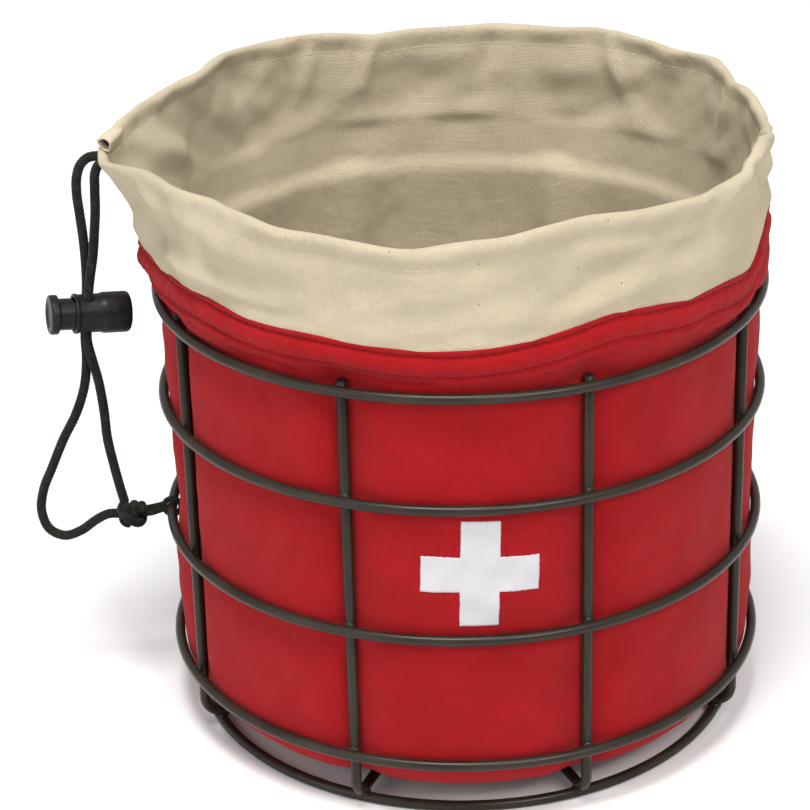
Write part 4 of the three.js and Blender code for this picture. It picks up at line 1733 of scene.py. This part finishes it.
# Where the two strands run, in millimetres from the middle of the basket's foot.
LONG_STRAND = MM * np.array([
    (-103.4, 1.75, 173.5), (-105.8, 1.75, 173.9), (-108.5, 1.65, 173.4), (-110.8, 1.5, 171.2),
    (-112.1, 1.4, 167.6), (-112.5, 1.4, 162.6), (-112.1, 1.5, 155.5), (-111.7, 1.65, 148.0),
    (-111.6, 1.7, 140.0), (-111.9, 1.69, 132.46), (-112.69, 1.42, 124.5), (-113.48, 1.15, 116.54),
    (-113.6, 0.8, 109.0), (-114.9, 0.4, 100.0), (-118.2, 0.0, 90.8), (-122.6, -0.6, 82.6),
    (-126.6, -1.2, 73.6), (-129.9, -1.8, 66.0), (-131.0, -2.4, 58.8), (-128.9, -3.1, 52.9),
    (-124.2, -3.8, 50.9), (-118.8, -4.5, 53.0), (-113.9, -5.2, 56.9), (-109.8, -5.7, 59.2),
    (-105.6, -6.0, 59.5),
])
SHORT_STRAND = MM * np.array([
    (-103.2, -1.7, 173.6), (-105.0, -1.7, 172.3), (-106.2, -1.65, 169.7), (-106.6, -1.55, 165.0),
    (-107.0, -1.45, 158.0), (-107.8, -1.3, 151.0), (-108.9, -1.15, 143.0), (-110.1, -1.12, 137.0),
    (-110.92, -1.15, 132.46), (-111.71, -1.42, 124.5), (-112.5, -1.69, 116.54), (-111.5, -2.05, 110.5),
    (-109.9, -2.5, 102.5), (-109.0, -2.95, 93.5), (-108.5, -3.6, 84.0), (-107.0, -4.4, 75.0),
    (-105.6, -5.1, 68.0), (-104.3, -5.6, 62.4),
])

# How the knot's parts run, in millimetres from its middle.
KNOT_OVER = MM * np.array([
    (-3.4, 1.2, 2.3), (-3.8, -1.5, 1.7), (-2.6, -3.4, 0.4), (-0.6, -3.8, -1.1), (1.2, -2.7, -2.5),
    (2.2, -0.6, -2.7), (2.4, 1.6, -1.4),
])
KNOT_CORE = MM * np.array([(-4.6, 0.0, 0.2), (-2.0, 0.2, 0.3), (1.0, 0.0, 0.2), (3.4, 0.0, 0.3)])
KNOT_TAIL = MM * np.array([
    (-3.0, -1.2, 1.4), (-3.9, -2.1, -0.6), (-3.6, -2.2, -2.3), (-2.6, -2.1, -3.3), (-1.2, -1.9, -3.7),
])
TIE_ENDS = MM * np.array([(2.2, 0.2, 1.0), (4.8, 0.4, 1.3), (5.0, -0.4, -0.3), (2.2, -0.2, -0.5)])


@dataclass
class CordLock:
    """The spring cord lock: a barrel that the strands pass through, and the button that grips them.

    Attributes:
        hole_x: Where the strands' hole lies from the basket's axis, at the lock's height.
        turn: Degrees that the lock is turned about the upright axis; dip is how far its far end hangs.
        mouth: Where the barrel's open end lies along the lock, from the strands' hole.
        end_wall: Thickness of the barrel's closed end, which is dished by dish_deep inside dish_edge.
        travel: How far the button goes in.
        crisp: Edges sharper than this, in degrees, stay crisp.
    """

    hole_x: float = -112.2 * MM
    height: float = 124.5 * MM
    turn: float = 19.0
    dip: float = 6.0
    mouth: float = -4.2 * MM
    long: float = 17.2 * MM
    radius: float = 6.25 * MM
    waist: float = 6.0 * MM
    waist_long: float = 9.0 * MM
    lip_long: float = 1.3 * MM
    lip_rise: float = 0.1 * MM
    lip_round: float = 0.35 * MM
    end_round: float = 1.4 * MM
    dish_edge: float = 2.2 * MM
    dish_deep: float = 0.25 * MM
    bore: float = 5.15 * MM
    end_wall: float = 2.0 * MM
    chamfer: float = 0.4 * MM
    button_radius: float = 4.8 * MM
    head_radius: float = 6.0 * MM
    head_thick: float = 2.6 * MM
    head_gap: float = 4.8 * MM
    head_round: float = 0.7 * MM
    head_dish_edge: float = 2.0 * MM
    head_dish_deep: float = 0.3 * MM
    button_tip: float = 4.3 * MM
    travel: float = 3.0 * MM
    slot_wide: float = 6.6 * MM
    slot_long: float = 3.6 * MM
    slot_share: float = 0.98
    sides: int = 72
    crisp: float = 38.0

    def placed(self, points: np.ndarray) -> np.ndarray:
        """Moves points from the lock's own frame, with the strands' hole at its origin, into the frame."""
        place = AXIS_FOOT + np.array([self.hole_x, 0.0, self.height])
        return laid(points, self.turn, self.dip, place)

    def corner(self, along: float, radius: float, size: float, start: float,
               end: float) -> list[tuple[float, float]]:
        """A rounded corner of a profile.

        Args:
            along: Where the rounding's centre lies along the axis.
            radius: Its centre's radius.
            size: The rounding's radius.
            start: First direction, in degrees from the axis towards the outside.
            end: Last direction.

        Returns:
            Points of the profile.
        """
        steps = np.radians(np.linspace(start, end, 6))
        return [(along + size * math.cos(t), radius + size * math.sin(t)) for t in steps]

    def barrel_profile(self) -> list[tuple[float, float]]:
        """The barrel's bore, mouth, lip, waist, shoulder and dished end."""
        mouth, end = self.mouth, self.mouth + self.long
        wall, dish = end - self.end_wall, end - self.dish_deep
        small, cut = self.lip_round, self.chamfer
        lip, rim = mouth + self.lip_long, self.waist + self.lip_rise
        shoulder = mouth + self.waist_long
        profile = [(wall, 0.0), (wall, self.bore - cut), (wall - cut, self.bore), (mouth + small, self.bore)]
        profile += self.corner(mouth + small, self.bore + small, small, -90.0, -180.0)
        profile += self.corner(mouth + small, rim - small, small, 180.0, 90.0)
        profile += [(lip - small, rim), (lip, self.waist - 0.12 * MM), (lip + small, self.waist - 0.15 * MM)]
        profile += [(shoulder - 1.2 * MM, self.waist - 0.1 * MM), (shoulder - 0.7 * MM, self.waist)]
        profile += [(shoulder, self.radius - 0.04 * MM), (shoulder + 0.5 * MM, self.radius)]
        profile += self.corner(end - self.end_round, self.radius - self.end_round, self.end_round, 90.0, 0.0)
        profile += [(end, self.radius - self.dish_edge), (dish, self.radius - self.dish_edge - cut)]
        return profile + [(dish, 1.0 * MM), (dish, 0.0)]

    def button_profile(self) -> list[tuple[float, float]]:
        """The button's dished head, neck and tip."""
        inner = self.mouth - self.head_gap
        outer = inner - self.head_thick
        dish, edge = outer + self.head_dish_deep, self.head_radius - self.head_dish_edge
        face, cut, tip = self.head_round, self.chamfer, self.button_tip
        profile = [(dish, 0.0), (dish, edge - cut), (outer, edge), (outer, self.head_radius - face - cut)]
        profile += self.corner(outer + face, self.head_radius - face, face, 180.0, 90.0)
        profile += self.corner(inner - cut, self.head_radius - cut, cut, 90.0, 0.0)
        profile += [(inner, self.button_radius + cut), (inner + cut, self.button_radius)]
        return profile + [(tip - cut, self.button_radius), (tip, self.button_radius - cut), (tip, 0.0)]

    def slot(self, name: str, low: float, high: float, plastic: bpy.types.Material) -> bpy.types.Object:
        """A cutter for the hole that both strands pass through.

        Args:
            name: The cutter's name.
            low: The hole's low end along the lock.
            high: Its high end.
            plastic: The lock's material.

        Returns:
            The cutter.
        """
        middle, small = (high + low) / 2, (high - low) / 2 * self.slot_share
        centre = self.slot_wide / 2 - small
        steps = np.radians(np.linspace(0.0, 180.0, 17))
        half = [(middle + small * math.cos(t), centre + small * math.sin(t)) for t in steps]
        ring = half + [(low + high - x, -y) for x, y in half]
        tall = 3 * self.radius
        points = [(x, y, z) for z in (-tall, tall) for x, y in ring]
        count = len(ring)
        faces: list[tuple[int, ...]] = [tuple(reversed(range(count))), tuple(range(count, 2 * count))]
        faces += [(i, (i + 1) % count, count + (i + 1) % count, count + i) for i in range(count)]
        return mesh_piece(name, self.placed(np.array(points)), faces, plastic)

    def drilled(self, name: str, profile: list[tuple[float, float]], low: float,
                plastic: bpy.types.Material) -> bpy.types.Object:
        """Turns a profile and cuts the strands' hole through it, with its crisp edges kept crisp.

        Args:
            name: The piece's name.
            profile: Its profile.
            low: The hole's low end along the lock.
            plastic: The lock's material.

        Returns:
            The piece.
        """
        points, faces = turned(profile, self.sides)
        piece = mesh_piece(name, self.placed(points), faces, plastic)
        cutter = self.slot(name + "_slot", low, self.slot_long / 2, plastic)
        modifier = piece.modifiers.new("cut", "BOOLEAN")
        modifier.operation = "DIFFERENCE"
        modifier.solver = "EXACT"
        modifier.object = cutter
        smoothed(baked(piece))
        bpy.data.objects.remove(cutter)
        piece.data.set_sharp_from_angle(angle=math.radians(self.crisp))
        return piece

    def build(self) -> list[bpy.types.Object]:
        """Builds the barrel and the button.

        Returns:
            The barrel, then the button.
        """
        plastic = MouldedPlastic(
            "lock_plastic", tone=(0.0085, 0.008, 0.009), dusty=(0.018, 0.017, 0.018)
        ).material()
        low = -self.slot_long / 2
        barrel = self.drilled("lock_barrel_shell", self.barrel_profile(), low, plastic)
        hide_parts("lock_barrel")
        button = self.drilled("lock_button", self.button_profile(), low - self.travel, plastic)
        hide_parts("lock_plunger")
        return [set_down(barrel, BAG_BODY, Slot.PLASTIC), set_down(button, PLUNGER_BODY, Slot.PLASTIC)]


@dataclass
class Drawcord:
    """The drawcord: two strands from the eyelet through the lock, knotted and tied to the second hoop.

    Attributes:
        knot_share: Thickness of the cord drawn tight in the knot, as a share of its diameter.
        knot_out: How far the knot's middle lies outside the hoops' radius, and knot_drop below the hoop.
        wraps: Turns of the knot's coil, which narrows from wrap_wide to wrap_narrow over wrap_run.
        wrap_lean: How far the coil's turns lean, and wrap_tall how much taller than wide they are.
        tie_turn: Degrees from the outermost point of the hoop's wire to each end of the loop round it.
    """

    basket: WireBasket
    diameter: float = 3.0 * MM
    tie_diameter: float = 1.8 * MM
    tie_sides: int = 32
    tie_gap: float = 0.2 * MM
    tie_turn: float = 156.0
    tie_bite: float = 0.4 * MM
    knot_share: float = 0.96
    knot_angle: float = -86.25
    knot_out: float = 11.6 * MM
    knot_drop: float = 1.7 * MM
    wraps: float = 2.2
    wrap_wide: float = 2.45 * MM
    wrap_narrow: float = 1.8 * MM
    wrap_run: float = 5.2 * MM
    wrap_middle: float = 0.55
    wrap_lean: float = 0.32
    wrap_tall: float = 1.08

    def strand(self, name: str, node: str, route: np.ndarray,
               material: bpy.types.Material) -> tuple[bpy.types.Object, np.ndarray]:
        """One strand along its route.

        Args:
            name: The piece's name.
            node: The CAD node that it stands for.
            route: Its points from the basket's axis.
            material: The braid.

        Returns:
            The piece, and the centres of its rings.
        """
        braid = Braid(self.diameter)
        line = smooth_route(route, braid.step) + AXIS_FOOT
        piece = mesh_piece(name, *braid.tube(line), material)
        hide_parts(node)
        return set_down(piece, BAG_BODY, Slot.CORD), line

    def coil(self) -> np.ndarray:
        """The knot's coil, from the knot's middle."""
        share = np.linspace(0.0, 1.0, 30)
        turn = share * self.wraps * 2.0 * math.pi
        size = self.wrap_wide + (self.wrap_narrow - self.wrap_wide) * share
        out = (share - self.wrap_middle) * self.wrap_run + self.wrap_lean * size * np.cos(turn)
        return np.stack([out, -size * np.sin(turn), self.wrap_tall * size * np.cos(turn)], axis=1)

    def ties(self, centre: np.ndarray, hoop: np.ndarray) -> list[np.ndarray]:
        """The knot's thin parts: its tail, the loop round the hoop and the strand inside the loop.

        Args:
            centre: The knot's middle.
            hoop: The middle of the hoop's wire beside it.

        Returns:
            The line of each.
        """
        half_wire = self.basket.wire / 2
        off = half_wire + self.tie_diameter / 2 + self.tie_gap
        wrap = np.radians(np.linspace(self.tie_turn, -self.tie_turn, 14))
        round_hoop = hoop + off * np.stack([np.cos(wrap), 0.0 * wrap, np.sin(wrap)], axis=1)
        ends = centre + TIE_ENDS
        loop = np.concatenate([ends[:2], round_hoop, ends[2:]])
        middle = np.array([(ends[0] + ends[3]) / 2, (ends[1] + ends[2]) / 2, hoop])
        middle[2, 0] -= half_wire - self.tie_bite
        return [centre + KNOT_TAIL, loop, middle]

    def knot(self, material: bpy.types.Material) -> bpy.types.Object:
        """The knot, its tail and the loop round the hoop.

        Args:
            material: The braid.

        Returns:
            The piece.
        """
        at, ring = math.radians(self.knot_angle), self.basket.hoop_radius
        hoop = np.array([ring * math.sin(at), -ring * math.cos(at), self.basket.hoop_heights[1]])
        centre = np.array([-ring - self.knot_out, hoop[1], hoop[2] - self.knot_drop])
        thick = Braid(self.diameter * self.knot_share)
        thin = Braid(self.tie_diameter, sides=self.tie_sides)
        paths = [(thick, centre + line) for line in (self.coil(), KNOT_CORE, KNOT_OVER)]
        paths += [(thin, line) for line in self.ties(centre, hoop)]
        parts = [braid.tube(smooth_route(path, braid.step) + AXIS_FOOT) for braid, path in paths]
        piece = mesh_piece("cord_knot_tied", *merged(parts), material)
        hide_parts("cord_knot")
        return set_down(piece, BAG_BODY, Slot.CORD)

    def build(self, lock: list[bpy.types.Object]) -> None:
        """Builds both strands and their knot.

        Args:
            lock: The cord lock's pieces.
        """
        braid = Yarn("black_braid", tone=(0.009, 0.010, 0.008), pale=(0.028, 0.029, 0.024), sheen=0.12)
        braid = braid.material()
        knot = self.knot(braid)
        for name, node, route, along in (
            ("drawcord_long", "draw_cord_left", LONG_STRAND, [knot, *lock]),
            ("drawcord_short", "draw_cord_right", SHORT_STRAND, [knot]),
        ):
            piece, line = self.strand(name, node, route, braid)
            length = float(along_line(line)[-1])
            LOG.info("%s: %.1f mm long", name, length / MM)
            tuple(line[0])
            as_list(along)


class SoftLight(NamedTuple):
    """A square soft light: its name, its place, its side, its power in watts and its colour."""

    name: str
    place: tuple[float, float, float]
    side: float
    power: float
    tint: tuple[float, float, float]


LIGHTS = (
    SoftLight("key_light", (0.7, -1.15, 1.5), 0.6, 18.0, (1.0, 0.985, 0.96)),
    SoftLight("fill_light", (-1.3, -1.1, 0.7), 1.2, 8.0, (0.98, 0.985, 1.0)),
    SoftLight("top_light", (-0.15, -0.45, 1.8), 0.5, 26.0, (1.0, 0.985, 0.96)),
)


@dataclass
class Studio:
    """The camera at the photograph's angle, the pale floor and the soft lights."""

    camera_back: float = 726.13 * MM
    camera_height: float = 439.15 * MM
    pitch: float = 25.54
    yaw: float = 1.36
    roll: float = 1.5524
    lens: float = 117.15
    sensor: float = 36.0
    clip: tuple[float, float] = (0.05, 50.0)
    floor_size: float = 8.0
    floor_tone: tuple[float, float, float] = (0.86, 0.86, 0.86)
    aim_height: float = 0.1
    sky_tint: tuple[float, float, float] = (0.96, 0.98, 1.0)
    sky_strength: float = 0.6

    def camera(self) -> None:
        """Sets up the camera."""
        data = bpy.data.cameras.new("photo_camera")
        data.lens = self.lens
        data.sensor_width = self.sensor
        data.clip_start, data.clip_end = self.clip
        camera = bpy.data.objects.new("photo_camera", data)
        bpy.context.scene.collection.objects.link(camera)
        down, left, tilt = math.radians(self.pitch), math.radians(self.yaw), math.radians(self.roll)
        ahead = Vector((-math.sin(left) * math.cos(down), math.cos(left) * math.cos(down), -math.sin(down)))
        right = Vector((math.cos(left), math.sin(left), 0.0))
        up = right.cross(ahead)
        side = math.cos(tilt) * right - math.sin(tilt) * up
        top = math.sin(tilt) * right + math.cos(tilt) * up
        axes = Matrix((side, top, -ahead)).transposed().to_4x4()
        place = Vector((AXIS_X, AXIS_Y - self.camera_back, self.camera_height))
        camera.matrix_world = Matrix.Translation(place) @ axes
        bpy.context.scene.camera = camera

    def light(self, soft: SoftLight) -> None:
        """Hangs one soft light, aimed at the bag.

        Args:
            soft: The light's values.
        """
        data = bpy.data.lights.new(soft.name, "AREA")
        data.shape = "SQUARE"
        data.size, data.energy, data.color = soft.side, soft.power, soft.tint
        lamp = bpy.data.objects.new(soft.name, data)
        bpy.context.scene.collection.objects.link(lamp)
        target = Vector((AXIS_X, AXIS_Y, self.aim_height))
        lamp.location = Vector(soft.place)
        lamp.rotation_mode = "QUATERNION"
        lamp.rotation_quaternion = (target - Vector(soft.place)).to_track_quat("-Z", "Y")

    def build(self) -> None:
        """Builds the floor, the lights and the sky."""
        paper = StudioPaper("studio_paper", tone=self.floor_tone).material()
        half = self.floor_size / 2
        corners = np.array([(-half, -half, 0.0), (half, -half, 0.0), (half, half, 0.0), (-half, half, 0.0)])
        floor = mesh_piece("studio_floor", corners, [(0, 1, 2, 3)], paper)
        for soft in LIGHTS:
            self.light(soft)
        world = bpy.data.worlds.new("studio_sky")
        world.use_nodes = True
        sky = world.node_tree.nodes["Background"]
        sky.inputs["Color"].default_value = (*self.sky_tint, 1.0)
        sky.inputs["Strength"].default_value = self.sky_strength
        bpy.context.scene.world = world
        bpy.context.scene.view_settings.view_transform = "Standard"


def main() -> None:
    """Builds the scene: the camera and the cords first, then the basket, the cloth and the studio."""
    logging.basicConfig(level=logging.INFO, format="%(message)s")
    studio = Studio()
    studio.camera()
    basket = WireBasket()
    lock = CordLock().build()
    Drawcord(basket).build(lock)
    basket.build()
    shape = BagShape(basket)
    RedBag(shape).build()
    CreamLining(shape).build()
    studio.build()


if __name__ == "__main__":
    main()
